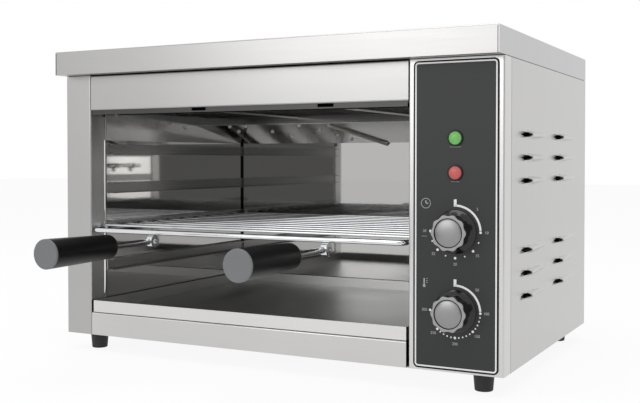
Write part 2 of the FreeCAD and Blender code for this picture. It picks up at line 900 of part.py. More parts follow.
def make_lamp_holders():
    """Lamp bodies behind the panel that take the lens stems, each with two tabs."""
    items = []
    for name, height in (("green", s.green_lamp_height), ("red", s.red_lamp_height)):
        start = s.casing_sheet
        shell = rod(
            f"{name}_holder_shell", (control_middle, start, height), s.lamp_holder_radius,
            s.lamp_holder_length, TO_BACK)
        bore = rod(
            f"{name}_holder_bore", (control_middle, start, height), s.lens_stem_radius + s.lamp_fit,
            s.lens_stem_length, TO_BACK)
        tabs = []
        for side in (-1, 1):
            across = control_middle + s.lamp_holder_radius / 2 * side - s.lamp_tab_thickness / 2
            tabs.append(block(
                f"{name}_holder_tab_{side + 1}",
                (across, start + s.lamp_holder_length, height - s.lamp_tab_width / 2),
                (s.lamp_tab_thickness, s.lamp_tab_length, s.lamp_tab_width)))
        hollow = cut(f"{name}_holder_hollow", shell, [bore])
        items.append(fuse(f"{name}_holder", [hollow] + tabs))
    return finish("lamp_holders", group("lamp_holder_pair", items))


def make_switch(label, height, depth):
    """Switch body behind the panel with a threaded collar that comes through it."""
    item = new_body(label)
    half = s.switch_width / 2
    drawn = new_sketch(item, label + "_case", "XZ_Plane", -s.casing_sheet)
    rectangle(drawn, -half, -half, half, half)
    pad(item, drawn, depth, backwards=True)

    def corner(edge):
        first, last = edge.Vertexes[0], edge.Vertexes[-1]
        return near(first.X, last.X) and near(first.Z, last.Z)

    fillet(item, s.switch_corner_radius, corner)
    drawn = new_sketch(item, label + "_collar", "XZ_Plane", -s.casing_sheet)
    circle(drawn, ZERO, ZERO, s.collar_radius)
    pad(item, drawn, s.casing_sheet + s.collar_reach)
    drawn = new_sketch(item, label + "_bore", "XZ_Plane", s.collar_reach)
    circle(drawn, ZERO, ZERO, s.spindle_radius + s.spindle_fit)
    pocket(item, drawn, s.collar_reach + s.casing_sheet + s.spindle_in_switch)
    return finish(label, item, (control_middle, ZERO, height))


def make_collar_nuts():
    """Flat nuts on the collars, in the round windows of the overlay."""
    items = []
    for name, height in (("timer", s.timer_height), ("thermostat", s.thermostat_height)):
        spot = (control_middle, -s.nut_thickness, height)
        whole = hexagon(f"{name}_nut_hex", spot, s.nut_width, s.nut_thickness, TO_BACK)
        bore = rod(f"{name}_nut_bore", spot, s.collar_radius, s.nut_thickness, TO_BACK)
        items.append(cut(f"{name}_nut", whole, [bore]))
    return finish("collar_nuts", group("collar_nut_pair", items))


def make_spindle(label, height):
    """Round spindle from the switch to the knob, with a flat along the part that holds the knob."""
    front = knob_back + s.knob_recess_depth + s.spindle_in_knob
    length = front + s.casing_sheet + s.spindle_in_switch - s.spindle_flat
    bar = rod(label + "_bar", (control_middle, -front, height), s.spindle_radius, length, TO_BACK)
    flat = block(
        label + "_flat_cut",
        (control_middle - s.spindle_radius, -front, height + s.spindle_radius - s.spindle_flat),
        (s.spindle_radius * 2, s.spindle_in_knob, s.spindle_radius))
    return finish(label, cut(label + "_cut", bar, [flat]))


def make_knob(label, height):
    """Knob with a skirt and a lobed body, hollow at the back over the nut, bored for the spindle."""
    item = new_body(label)
    base = s.knob_skirt_height
    neck = base + s.knob_neck_height
    front = s.knob_height
    seat = s.knob_cap_radius
    shoulder = s.knob_radius
    drawn = new_sketch(item, label + "_profile", "XY_Plane")
    outline(drawn, [
        (s.knob_recess_radius, ZERO), (s.knob_skirt_radius, ZERO),
        (s.knob_skirt_radius, -base / 2), (s.knob_skirt_radius - base / 2, -base),
        (shoulder - s.knob_neck_height / 2, -neck), (shoulder, -neck - s.knob_neck_height),
        (shoulder, -front + s.knob_crown), (shoulder - s.knob_crown, -front),
        (seat, -front), (seat, -front + s.knob_cap_seat), (ZERO, -front + s.knob_cap_seat),
        (ZERO, -s.knob_recess_depth), (s.knob_recess_radius, -s.knob_recess_depth),
    ])
    revolve(item, drawn)
    scallop = new_sketch(item, label + "_scallop", "XZ_Plane", front)
    lobe_centre = shoulder + s.knob_lobe_radius - s.knob_lobe_depth
    circle(scallop, ZERO, lobe_centre, s.knob_lobe_radius)
    made = pocket(item, scallop, front - neck)
    pattern = item.newObject("PartDesign::PolarPattern", label + "_scallops")
    pattern.Originals = [made]
    pattern.Axis = (origin_part(item, "Y_Axis"), [""])
    pattern.Angle = FULL_TURN
    bind(pattern, "Occurrences", s.knob_lobe_count)
    item.Tip = pattern
    doc.recompute()
    bore = new_sketch(item, label + "_bore", "XZ_Plane", s.knob_recess_depth)
    circle(bore, ZERO, ZERO, s.spindle_radius + s.spindle_fit)
    pocket(item, bore, s.spindle_in_knob, backwards=True)
    return finish(label, item, (control_middle, -knob_back, height))


def make_knob_cap(label, height):
    """Low domed disc set into the front of the knob."""
    item = new_body(label)
    drawn = new_sketch(item, label + "_profile", "XY_Plane")
    rim = s.knob_cap_radius
    deep = s.knob_cap_seat
    rise = s.knob_cap_rise
    outline(drawn, [
        (ZERO, ZERO), (rim, ZERO), (rim, -deep), (rim - s.knob_cap_edge, -deep - rise / 2),
        (rim / 2, -deep - rise), (ZERO, -deep - rise),
    ])
    revolve(item, drawn)
    front = knob_back + s.knob_height - s.knob_cap_seat
    return finish(label, item, (control_middle, -front, height))


# Cavity

def make_cavity_side(label, face, outwards):
    """Side wall of the cavity with a rounded fold and a flange at its front edge."""
    item = new_body(label)
    wall = s.cavity_sheet
    back = cavity_back
    far = face + outwards * wall
    tip = face + outwards * (wall + s.cavity_flange)
    drawn = new_sketch(item, label + "_outline", "XY_Plane", s.casing_sheet)
    outline(drawn, [
        (face, back), (face, cavity_front), (tip, cavity_front), (tip, cavity_front + wall),
        (far, cavity_front + wall), (far, back),
    ])
    pad(item, drawn, cavity_top - s.casing_sheet)
    fillet(item, s.cavity_fold_radius + wall, upright_at((face, cavity_front)))
    fillet(item, s.cavity_fold_radius, upright_at((far, cavity_front + wall)))
    if outwards > 0:
        holes = new_sketch(item, label + "_holes", "YZ_Plane", face - s.cut_overrun)
        for along in element_legs():
            circle(holes, along, element_height, s.bush_radius + s.bush_fit)
        circle(holes, bulb_back(), bulb_height, s.capillary_hole_radius)
        pocket(item, holes, s.cut_overrun * 2, backwards=True)
    else:
        notch = new_sketch(item, label + "_notch", "XZ_Plane", s.cut_overrun - cavity_front)
        beside = s.foot_inset_side + s.foot_nut_width * 2 / 3
        rectangle(notch, ZERO, ZERO, beside, s.foot_nut_clearance)
        pocket(item, notch, s.cut_overrun * 2)
    return finish(label, item)


def make_cavity_rear_wall():
    item = block(
        "rear_wall_sheet", (opening_left - s.cavity_sheet, cavity_back, s.casing_sheet),
        (opening_right - opening_left + s.cavity_sheet * 2, s.cavity_sheet,
         cavity_top - s.casing_sheet))
    return finish("cavity_rear_wall", group("rear_wall", [item]))


def make_cavity_floor():
    """Floor of the cavity between its side walls, under the crumb tray."""
    front = s.rail_lip + s.floor_front_gap
    span = opening_right - opening_left
    item = block(
        "floor_sheet", (opening_left, front, s.floor_height - s.cavity_sheet),
        (span, cavity_back - front, s.cavity_sheet))
    slit = s.casing_gap / 2
    notch = (slit, s.pillar_return - front + slit, cavity_top)
    tools = [
        block("floor_notch_left", (opening_left, front, ZERO), notch),
        block("floor_notch_right", (opening_right - slit, front, ZERO), notch),
    ]
    return finish("cavity_floor", cut("floor_cut", item, tools))


def hood_ring(item, name, height, inset_side, inset_rear, wall):
    drawn = new_sketch(item, name, "XY_Plane", height)
    rectangle(
        drawn, opening_left + inset_side + wall, cavity_front + wall,
        opening_right - inset_side - wall, cavity_back - inset_rear - wall)
    return drawn


def make_heater_hood():
    """Open-bottomed hood: a gently sloping rear reflector, a step up to the roof, a short front wall."""
    item = new_body("heater_hood")
    slope_side = s.hood_side_inset * s.hood_slope_height / s.hood_height
    slope_top = hood_bottom + s.hood_slope_height
    slope_run = s.hood_sheet * s.hood_rear_inset / s.hood_slope_height
    for name, feature, wall, toe in (
            ("outer", "PartDesign::AdditiveLoft", ZERO, ZERO),
            ("inner", "PartDesign::SubtractiveLoft", s.hood_sheet, slope_run - s.hood_sheet)):
        low = hood_ring(item, f"hood_{name}_low", hood_bottom, ZERO, toe, wall)
        mid = hood_ring(
            item, f"hood_{name}_mid", slope_top - wall, slope_side, s.hood_rear_inset, wall)
        high = hood_ring(
            item, f"hood_{name}_high", hood_top - wall, s.hood_side_inset, s.hood_rear_inset, wall)
        loft = item.newObject(feature, f"hood_{name}")
        loft.Profile = low
        loft.Sections = [mid, high]
        loft.Ruled = True
        doc.recompute()
    drawn = new_sketch(item, "hood_mouth", "XZ_Plane", -cavity_front + s.cut_overrun)
    side = s.hood_side_inset + s.hood_sheet
    rectangle(drawn, opening_left + side, hood_bottom - s.cut_overrun, opening_right - side,
              hood_top - s.hood_front_height)
    pocket(item, drawn, s.cut_overrun + s.hood_sheet * 2)
    drawn = new_sketch(item, "hood_slots", "XZ_Plane", -cavity_front + s.cut_overrun)
    for middle in strap_middles():
        half = s.slot_width / 2
        rectangle(drawn, middle - half, slot_bottom, middle + half, slot_bottom + s.slot_height)
    pocket(item, drawn, cavity_back)
    holes = new_sketch(item, "hood_element_holes", "YZ_Plane", opening_right + s.cut_overrun)
    for along in element_legs():
        circle(holes, along, element_height, s.element_radius + s.element_hole_fit)
    pocket(item, holes, s.cut_overrun + s.hood_side_inset + s.hood_sheet * 2)
    return finish("heater_hood", item)


def strap_middles():
    return [s.body_width / 2 - s.slot_pitch / 2, s.body_width / 2 + s.slot_pitch / 2]


def make_element_straps():
    """Flat straps from front to back under the elements, carried in the slots of the hood."""
    start = cavity_front - s.strap_tab
    length = cavity_back - s.hood_rear_inset + s.strap_tab - start
    items = []
    for number, middle in enumerate(strap_middles()):
        items.append(block(
            f"strap_{number}", (middle - s.strap_width / 2, start, slot_bottom),
            (s.strap_width, length, s.strap_thickness)))
    return finish("element_straps", group("strap_pair", items))


def element_starts():
    count = int(s.element_count.value)
    first = cavity_front + s.element_front_gap
    spread = cavity_back - s.element_rear_gap - s.element_bend * 2 - first
    return [first + spread * number / (count - 1) for number in range(count)]


def element_legs():
    legs = []
    for start in element_starts():
        legs.append(start)
        legs.append(start + s.element_bend * 2)
    return legs


def make_element(label, start):
    """Hairpin heating tube: two legs along the cavity joined by a half turn at the left."""
    item = new_body(label)
    path = new_sketch(item, label + "_path", "XY_Plane", element_height)
    bend = s.element_bend
    left = opening_left + s.element_left_gap + bend
    right = opening_right + s.cavity_sheet + s.element_end
    near_leg = start
    far_leg = start + bend * 2
    spots = [spot_of(right, near_leg, 0), spot_of(left, near_leg, 0),
             spot_of(left, far_leg, 0), spot_of(right, far_leg, 0)]
    first = path.addGeometry(Part.LineSegment(spots[0], spots[1]), False)
    middle = spot_of(left - bend, near_leg + bend, 0)
    turn = path.addGeometry(Part.Arc(spots[2], middle, spots[1]), False)
    last = path.addGeometry(Part.LineSegment(spots[2], spots[3]), False)
    near_end = nearer_end(path, turn, spots[1])
    path.addConstraint(Sketcher.Constraint("Coincident", first, 2, turn, near_end))
    path.addConstraint(Sketcher.Constraint("Coincident", last, 1, turn, 3 - near_end))
    path.addConstraint(Sketcher.Constraint("Vertical", first, 2, last, 1))
    fix_point(path, first, 1, right, near_leg)
    fix_point(path, first, 2, left, near_leg)
    fix_point(path, last, 2, right, far_leg)
    fix_point(path, turn, 3, left, near_leg + bend)
    section = new_sketch(item, label + "_section", "YZ_Plane", right)
    circle(section, start, element_height, s.element_radius)
    pipe = item.newObject("PartDesign::AdditivePipe", label + "_tube")
    pipe.Profile = section
    pipe.Spine = (path, ["Edge1", "Edge2", "Edge3"])
    doc.recompute()
    for name, along in (("near", near_leg), ("far", far_leg)):
        bore = new_sketch(item, f"{label}_{name}_bore", "YZ_Plane", right)
        circle(bore, along, element_height, s.stud_radius)
        pocket(item, bore, s.stud_in_element)
    return finish(label, item)


def make_element_bushes():
    """Ceramic bushes, with a flange in the control box, round each leg where it passes the wall."""
    items = []
    start = opening_right
    for number, along in enumerate(element_legs()):
        barrel = rod(f"bush_barrel_{number}", (start, along, element_height), s.bush_radius,
                     s.bush_length, TO_RIGHT)
        flange = rod(f"bush_flange_{number}", (start + s.cavity_sheet, along, element_height),
                     s.bush_flange_radius, s.bush_flange, TO_RIGHT)
        bore = rod(f"bush_bore_{number}", (start, along, element_height), s.element_radius,
                   s.bush_length, TO_RIGHT)
        whole = fuse(f"bush_whole_{number}", [barrel, flange])
        items.append(cut(f"bush_{number}", whole, [bore]))
    return finish("element_bushes", group("bush_set", items))


def make_element_studs():
    items = []
    start = opening_right + s.cavity_sheet + s.element_end - s.stud_in_element
    for number, along in enumerate(element_legs()):
        items.append(rod(f"stud_{number}", (start, along, element_height), s.stud_radius,
                         s.stud_length + s.stud_in_element, TO_RIGHT))
    return finish("element_studs", group("stud_set", items))


def make_runners(label, face, inwards):
    """Four channels on one cavity wall, open towards the rack."""
    items = []
    front = cavity_front + s.runner_setback
    length = cavity_back - front
    low_x = face if inwards > 0 else face - s.runner_depth
    hollow_x = face + s.runner_sheet if inwards > 0 else face - s.runner_depth
    for level in range(int(s.runner_count.value)):
        bottom = s.runner_first + s.runner_pitch * level
        outer = block(f"{label}_outer_{level}", (low_x, front, bottom),
                      (s.runner_depth, length, s.runner_height))
        inner = block(f"{label}_inner_{level}", (hollow_x, front, bottom + s.runner_sheet),
                      (s.runner_depth - s.runner_sheet, length, s.runner_height - s.runner_sheet * 2))
        items.append(cut(f"{label}_{level}", outer, [inner]))
    return finish(label, group(label + "_set", items))


# Moving rack

def make_rack_frame():
    """Closed frame of one bent rod; its front rod spans the opening and its sides run in the runners."""
    item = new_body("rack_frame")
    bend = s.rack_corner_radius
    r = s.rack_rod_radius
    left, right = rack_left + r, rack_right - r
    front, back = -s.rack_front, rack_back
    path = new_sketch(item, "rack_path", "XY_Plane", rack_height)
    corners = [
        (left, front, 1, 1), (right, front, -1, 1), (right, back, -1, -1), (left, back, 1, -1)]
    lines = []
    for number, (x, y, to_x, to_y) in enumerate(corners):
        next_x, next_y, back_x, back_y = corners[(number + 1) % 4]
        if number % 2 == 0:
            start, end = (x + bend * to_x, y), (next_x + bend * back_x, next_y)
        else:
            start, end = (x, y + bend * to_y), (next_x, next_y + bend * back_y)
        lines.append((path.addGeometry(Part.LineSegment(spot_of(*start, 0), spot_of(*end, 0)), False),
                      start, end))
    slant = 1 - math.sqrt(0.5)
    arcs = []
    for number, (x, y, to_x, to_y) in enumerate(corners):
        before, after = lines[number - 1][2], lines[number][1]
        middle = spot_of(x + bend * to_x * slant, y + bend * to_y * slant, 0)
        arcs.append(path.addGeometry(
            Part.Arc(spot_of(*before, 0), middle, spot_of(*after, 0)), False))
    for line, start, end in lines:
        fix_point(path, line, 1, *start)
        fix_point(path, line, 2, *end)
    for number, arc in enumerate(arcs):
        before, after = lines[number - 1][0], lines[number][0]
        first_end = nearer_end(path, arc, path.getPoint(before, 2))
        path.addConstraint(Sketcher.Constraint("Coincident", before, 2, arc, first_end))
        path.addConstraint(Sketcher.Constraint("Coincident", after, 1, arc, 3 - first_end))
        number = path.addConstraint(Sketcher.Constraint("Radius", arc, bend.value))
        bind(path, f"Constraints[{number}]", bend)
    section = new_sketch(item, "rack_section", "YZ_Plane", left + bend)
    circle(section, front, rack_height, r)
    pipe = item.newObject("PartDesign::AdditivePipe", "rack_rod")
    pipe.Profile = section
    pipe.Spine = (path, [])
    doc.recompute()
    return finish("rack_frame", item)


def make_rack_wires():
    """Parallel wires across the rack, welded on top of the side rods."""
    items = []
    length = rack_right - rack_left - s.rack_wire_radius
    count = int(s.rack_wire_count.value)
    first = s.rack_wire_first - s.rack_front
    spread = rack_back - s.rack_wire_last - first
    for number in range(count):
        along = first + spread * number / (count - 1)
        wire = rod(f"rack_wire_{number}", (rack_left + s.rack_wire_radius / 2, along, wire_height),
                   s.rack_wire_radius, length, TO_RIGHT)
        items.append(wire)
    return finish("rack_wires", group("rack_wire_set", items))


def handle_place(side):
    return opening_middle + s.handle_offset * side


def make_handle_eyes():
    """Short barrels welded under the front rod, which the handle rods are joined to."""
    items = []
    for name, side in (("left", -1), ("right", 1)):
        start = handle_place(side) - s.eye_width / 2
        spot = (start, -s.rack_front, handle_height)
        barrel = rod(f"{name}_eye_barrel", spot, eye_radius, s.eye_width, TO_RIGHT)
        bore = rod(f"{name}_eye_bore", spot, s.eye_bore_radius, s.eye_width, TO_RIGHT)
        items.append(cut(f"{name}_eye", barrel, [bore]))
    return finish("handle_eyes", group("handle_eye_pair", items))


def make_handle_rod(label, side):
    """Rod from the eye forwards into the grip."""
    length = s.grip_start + s.handle_rod_in_grip - s.rack_front
    bar = rod(label + "_bar", (handle_place(side), -s.rack_front, handle_height),
              s.handle_rod_radius, length, TO_FRONT)
    end = rod(label + "_seat", (handle_place(side) - s.eye_width, -s.rack_front, handle_height),
              eye_radius, s.eye_width * 2, TO_RIGHT)
    return finish(label, cut(label + "_cut", bar, [end]))


def make_grip(label, side):
    """Turned grip with a rounded shoulder towards the cabinet and a bore for the rod."""
    item = new_body(label)
    length = s.handle_reach - s.grip_start - s.grip_cap_thickness
    deep = s.handle_rod_in_grip + s.grip_fit
    bore = s.handle_rod_radius + s.grip_fit
    drawn = new_sketch(item, label + "_profile", "XY_Plane")
    outline(drawn, [
        (ZERO, -length), (s.grip_radius, -length), (s.grip_radius, ZERO), (bore, ZERO),
        (bore, -deep), (ZERO, -deep),
    ])
    revolve(item, drawn)
    fillet(item, s.grip_round, rim_at("Y", ZERO, s.grip_radius))
    return finish(label, item, (handle_place(side), -s.grip_start, handle_height))


def make_grip_cap(label, side):
    """Flat disc that closes the front end of a grip."""
    front = s.handle_reach
    disc = rod(label + "_disc", (handle_place(side), -front, handle_height), s.grip_radius,
               s.grip_cap_thickness, TO_BACK)
    edge = round_off(label + "_edge", disc, s.grip_cap_edge, rim_at("Y", -front, s.grip_radius))
    return finish(label, group(label + "_whole", [edge]))


def make_crumb_tray():
    """Shallow pan under the rack, its front lip flush with the front of the cabinet."""
    item = new_body("crumb_tray")
    wall = s.tray_sheet
    left = opening_left + s.tray_left_gap
    right = opening_right - s.rail_right_gap
    back = cavity_back - s.tray_back_gap
    drawn = new_sketch(item, "tray_outline", "XY_Plane", tray_bottom)
    rectangle(drawn, left, ZERO, right, back)
    pad(item, drawn, s.tray_height)
    drawn = new_sketch(item, "tray_hollow", "XY_Plane", tray_bottom + s.tray_height)
    rectangle(drawn, left + wall, wall, right - wall, back - wall)
    pocket(item, drawn, s.tray_height - wall)
    return finish("crumb_tray", item)


# Thermostat bulb and capillary

def bulb_back():
    return bulb_start + s.bulb_length + s.capillary_run


def bulb_middle():
    return opening_right - s.bulb_wall_gap - s.bulb_radius


def make_thermostat_bulb():
    spot = (bulb_middle(), bulb_start, bulb_height)
    bar = rod("bulb_bar", spot, s.bulb_radius, s.bulb_length, TO_BACK)
    ends = round_off("bulb_ends", bar, s.bulb_radius / 3, lambda edge: isinstance(edge.Curve, Part.Circle))
    return finish("thermostat_bulb", group("bulb_whole", [ends]))


def make_bulb_clips():
    """Saddle clips that hold the bulb off the right wall."""
    items = []
    wall = s.clip_thickness
    for number, along in enumerate((
            bulb_start + s.clip_inset, bulb_start + s.bulb_length - s.clip_inset - s.clip_width)):
        outer = s.bulb_radius + wall
        loop = rod(f"clip_loop_{number}", (bulb_middle(), along, bulb_height), outer, s.clip_width,
                   TO_BACK)
        strip = block(
            f"clip_strip_{number}", (bulb_middle(), along, bulb_height - outer),
            (s.bulb_radius + s.bulb_wall_gap, s.clip_width, outer * 2))
        foot = block(
            f"clip_foot_{number}",
            (opening_right - wall, along, bulb_height - outer - s.clip_foot),
            (wall, s.clip_width, outer + s.clip_foot))
        bore = rod(f"clip_bore_{number}", (bulb_middle(), along, bulb_height), s.bulb_radius,
                   s.clip_width, TO_BACK)
        whole = fuse(f"clip_whole_{number}", [loop, strip, foot])
        items.append(cut(f"clip_{number}", whole, [bore]))
    return finish("bulb_clips", group("clip_pair", items))


def make_capillary():
    """Thin tube from the bulb through the right wall and down to the thermostat."""
    out = opening_right + s.capillary_run * 2
    behind = s.casing_sheet + s.thermostat_depth
    path = [
        spot_of(bulb_middle(), bulb_start + s.bulb_length, bulb_height),
        spot_of(bulb_middle(), bulb_back(), bulb_height),
        spot_of(out, bulb_back(), bulb_height),
        spot_of(out, bulb_back(), s.thermostat_height),
        spot_of(control_middle, bulb_back(), s.thermostat_height),
        spot_of(control_middle, behind, s.thermostat_height),
    ]
    return shaped("capillary_tube", tube(path, s.capillary_radius.value, s.capillary_bend.value))


# Supply side

def make_terminal_block():
    """Terminal block on the base plate, with a row of screw holes on top."""
    along = panel_back - s.block_back_gap - s.block_length
    low = (control_middle - s.block_width / 2, along, s.casing_sheet)
    whole = block("block_whole", low, (s.block_width, s.block_length, s.block_height))
    tools = []
    count = int(s.block_screw_count.value)
    for number in range(count):
        middle = along + s.block_length * (number + 0.5) / count
        for side in (-1, 1):
            tools.append(rod(
                f"block_hole_{number}_{side + 1}",
                (control_middle + s.block_width / 4 * side, middle,
                 s.casing_sheet + s.block_height - s.block_hole_depth),
                s.block_hole_radius, s.block_hole_depth + s.cut_overrun))
    return finish("terminal_block", cut("terminal_block_cut", whole, tools))


def make_cable_gland():
    """Round gland with a hexagon against the rear panel and a thread through it."""
    start = s.body_depth
    spot = (control_middle, start, s.gland_height)
    base = hexagon("gland_hex", spot, s.gland_hex_width, s.gland_hex_length, TO_BACK)
    dome_start = start + s.gland_hex_length
    dome = rod("gland_dome", (control_middle, dome_start, s.gland_height), s.gland_radius,
               s.gland_reach - s.gland_hex_length, TO_BACK)
    far = start + s.gland_reach
    rounded = round_off("gland_dome_round", dome, s.gland_edge, rim_at("Y", far, s.gland_radius))
    thread = rod("gland_thread", (control_middle, start - s.gland_thread_length, s.gland_height),
                 s.gland_thread_radius, s.gland_thread_length, TO_BACK)
    bore = rod("gland_bore", (control_middle, start - s.gland_thread_length, s.gland_height),
               s.gland_bore_radius, s.gland_reach + s.gland_thread_length, TO_BACK)
    whole = fuse("gland_whole", [base, rounded, thread])
    return finish("cable_gland", cut("gland_cut", whole, [bore]))


def make_gland_nut():
    start = panel_back - s.gland_nut_thickness
    spot = (control_middle, start, s.gland_height)
    whole = hexagon("gland_nut_hex", spot, s.gland_hex_width, s.gland_nut_thickness, TO_BACK)
    bore = rod("gland_nut_bore", spot, s.gland_thread_radius, s.gland_nut_thickness, TO_BACK)
    return finish("gland_nut", cut("gland_nut_cut", whole, [bore]))


def make_internal_leads():
    """Two leads that come back from the timer and the thermostat and go down to the terminal block."""
    block_front = panel_back - s.block_back_gap - s.block_length
    low = s.casing_sheet + s.block_height / 2
    shapes = []
    for side, height, depth in (
            (1, s.timer_height, s.timer_depth), (-1, s.thermostat_height, s.thermostat_depth)):
        across = control_middle + s.lead_spread / 2 * side
        behind = s.casing_sheet + depth
        down = behind + s.lead_run
        path = [spot_of(across, behind, height), spot_of(across, down, height),
                spot_of(across, down, low), spot_of(across, block_front, low)]
        shapes.append(tube(path, s.lead_radius.value, s.lead_bend.value))
    return shaped("internal_leads", Part.makeCompound(shapes))


# Feet and fasteners

def make_feet():
    """Tapered rubber feet with a stepped bore for the screw."""
    items = []
    for number, (across, along) in enumerate(foot_places()):
        cone = taper(f"foot_cone_{number}", (across, along, -s.foot_height), s.foot_tip_radius,
                     s.foot_radius, s.foot_height)
        rounded = round_off(
            f"foot_round_{number}", cone, s.foot_edge_radius,
            rim_at("Z", -s.foot_height, s.foot_tip_radius))
        wide = rod(f"foot_bore_{number}", (across, along, -s.foot_height), s.foot_bore_radius,
                   s.foot_bore_depth)
        narrow = rod(f"foot_hole_{number}", (across, along, -s.foot_height),
                     s.foot_screw_radius + s.foot_screw_fit, s.foot_height)
        items.append(cut(f"foot_{number}", rounded, [wide, narrow]))
    return finish("rubber_feet", group("foot_set", items))


def make_foot_screws():
    items = []
    seat = -s.foot_height + s.foot_bore_depth
    length = s.foot_height - s.foot_bore_depth + s.foot_screw_reach
    for number, (across, along) in enumerate(foot_places()):
        head = rod(f"foot_screw_head_{number}", (across, along, seat - s.foot_screw_head),
                   s.foot_screw_head_radius, s.foot_screw_head)
        shank = rod(f"foot_screw_shank_{number}", (across, along, seat), s.foot_screw_radius, length)
        items.append(fuse(f"foot_screw_{number}", [head, shank]))
    return finish("foot_screws", group("foot_screw_set", items))


def make_foot_nuts():
    items = []
    for number, (across, along) in enumerate(foot_places()):
        spot = (across, along, s.casing_sheet)
        whole = hexagon(f"foot_nut_hex_{number}", spot, s.foot_nut_width, s.foot_nut_thickness)
        bore = rod(f"foot_nut_bore_{number}", spot, s.foot_screw_radius, s.foot_nut_thickness)
        items.append(cut(f"foot_nut_{number}", whole, [bore]))
    return finish("foot_nuts", group("foot_nut_set", items))


def make_casing_screws():
    """Slotted screws through the rear panel and the rear skirt of the cover."""
    items = []
    for number, (across, height) in enumerate(rear_screw_places() + cover_screw_places()):
        seat = s.body_depth
        head = rod(f"screw_head_{number}", (across, seat, height), s.screw_head_radius, s.screw_head,
                   TO_BACK)
        shank = rod(f"screw_shank_{number}", (across, seat - s.screw_reach, height), s.screw_radius,
                    s.screw_reach, TO_BACK)
        slot = block(
            f"screw_slot_{number}",
            (across - s.screw_head_radius, seat + s.screw_head - s.screw_slot_depth,
             height - s.screw_slot_width / 2),
            (s.screw_head_radius * 2, s.screw_slot_depth, s.screw_slot_width))
        items.append(cut(f"screw_{number}", fuse(f"screw_whole_{number}", [head, shank]), [slot]))
    return finish("casing_screws", group("screw_set", items))


make_top_cover()
make_left_side_panel()
make_right_side_panel()
make_rear_panel()
make_base_plate()
make_header_rail()
make_lower_front_rail()
make_control_panel()
make_control_overlay()
make_lamp_lens("green_lamp_lens", s.green_lamp_height)
make_lamp_lens("red_lamp_lens", s.red_lamp_height)
make_lamp_holders()
make_switch("timer_body", s.timer_height, s.timer_depth)
make_switch("thermostat_body", s.thermostat_height, s.thermostat_depth)
make_collar_nuts()
for dial, dial_height in (("timer", s.timer_height), ("thermostat", s.thermostat_height)):
    make_spindle(f"{dial}_spindle", dial_height)
    make_knob(f"{dial}_knob", dial_height)
    make_knob_cap(f"{dial}_knob_cap", dial_height)
make_cavity_side("cavity_left_wall", opening_left, -1)
make_cavity_side("cavity_right_wall", opening_right, 1)
make_cavity_rear_wall()
make_cavity_floor()
make_heater_hood()
make_element_straps()
for row_name, row_start in zip(("front", "middle", "rear"), element_starts()):
    make_element(f"{row_name}_heating_element", row_start)
make_element_bushes()
make_element_studs()
make_runners("left_rack_runners", opening_left, 1)
make_runners("right_rack_runners", opening_right, -1)
make_rack_frame()
make_rack_wires()
make_handle_eyes()
for side_name, side_sign in (("left", -1), ("right", 1)):
    make_handle_rod(f"{side_name}_handle_rod", side_sign)
    make_grip(f"{side_name}_handle_grip", side_sign)
    make_grip_cap(f"{side_name}_grip_cap", side_sign)
make_crumb_tray()
make_thermostat_bulb()
make_bulb_clips()
make_capillary()
make_terminal_block()
make_cable_gland()
make_gland_nut()
make_internal_leads()
make_feet()
make_foot_screws()
make_foot_nuts()
make_casing_screws()
doc.recompute()

for item in doc.Objects:
    if "Invalid" in item.State or "Error" in item.State:
        raise RuntimeError(f"{item.Name} did not build: {item.State}")
for item in pieces:
    if item.Shape.isNull() or not item.Shape.isValid() or not item.Shape.Solids:
        raise RuntimeError(f"{item.Label} has no valid solid")

os.makedirs("parts", exist_ok=True)
for item in pieces:
    item.Shape.exportStep(os.path.join("parts", item.Label + ".step"))
    box = item.Shape.BoundBox
    print(f"{item.Label:24s} solids {len(item.Shape.Solids):3d}  volume {item.Shape.Volume:10.1f}"
          f"  x {box.XMin:7.1f} {box.XMax:7.1f}  y {box.YMin:7.1f} {box.YMax:7.1f}"
          f"  z {box.ZMin:6.1f} {box.ZMax:6.1f}")
print(len(pieces), "nodes")
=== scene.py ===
import logging
import math
from contextlib import contextmanager
from dataclasses import dataclass, field, replace
from enum import Enum
from functools import cached_property, partialmethod
from typing import Any, Callable, Iterator, Optional, Sequence, Union

import bmesh
import bpy
from mathutils import Matrix, Vector


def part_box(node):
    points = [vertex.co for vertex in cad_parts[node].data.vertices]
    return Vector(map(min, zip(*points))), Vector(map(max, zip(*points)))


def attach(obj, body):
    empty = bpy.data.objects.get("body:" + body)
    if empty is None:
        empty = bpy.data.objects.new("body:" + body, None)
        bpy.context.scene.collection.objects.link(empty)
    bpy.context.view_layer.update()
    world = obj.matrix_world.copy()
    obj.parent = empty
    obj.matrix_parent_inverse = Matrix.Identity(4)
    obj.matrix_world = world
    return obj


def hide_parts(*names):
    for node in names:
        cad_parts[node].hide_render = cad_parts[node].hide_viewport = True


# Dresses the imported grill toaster: brushed steel casing, polished cavity, chromed rack, printed
# control panel with two lobed knobs and two signal lamps, in a plain white studio.
# Lengths are in metres, X to the right, Y from the front to the back, Z up from the floor.

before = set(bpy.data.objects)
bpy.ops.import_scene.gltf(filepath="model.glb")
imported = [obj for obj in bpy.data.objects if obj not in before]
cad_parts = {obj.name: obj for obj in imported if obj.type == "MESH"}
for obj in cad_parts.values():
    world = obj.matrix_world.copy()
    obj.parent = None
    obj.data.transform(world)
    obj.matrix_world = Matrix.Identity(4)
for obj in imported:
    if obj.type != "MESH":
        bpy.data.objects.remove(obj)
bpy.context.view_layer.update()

logging.basicConfig(level=logging.INFO, format="%(name)s: %(message)s")
LOG = logging.getLogger("grill_toaster")

Colour = tuple[float, float, float]
Number = Union["Link", float]
# A box on a sheet where light and shade are painted: lowest corner, highest corner and the grey painted
# there.
Patch = tuple[Vector, Vector, float]
Piece = bpy.types.Object
Points = list[tuple[float, float]]

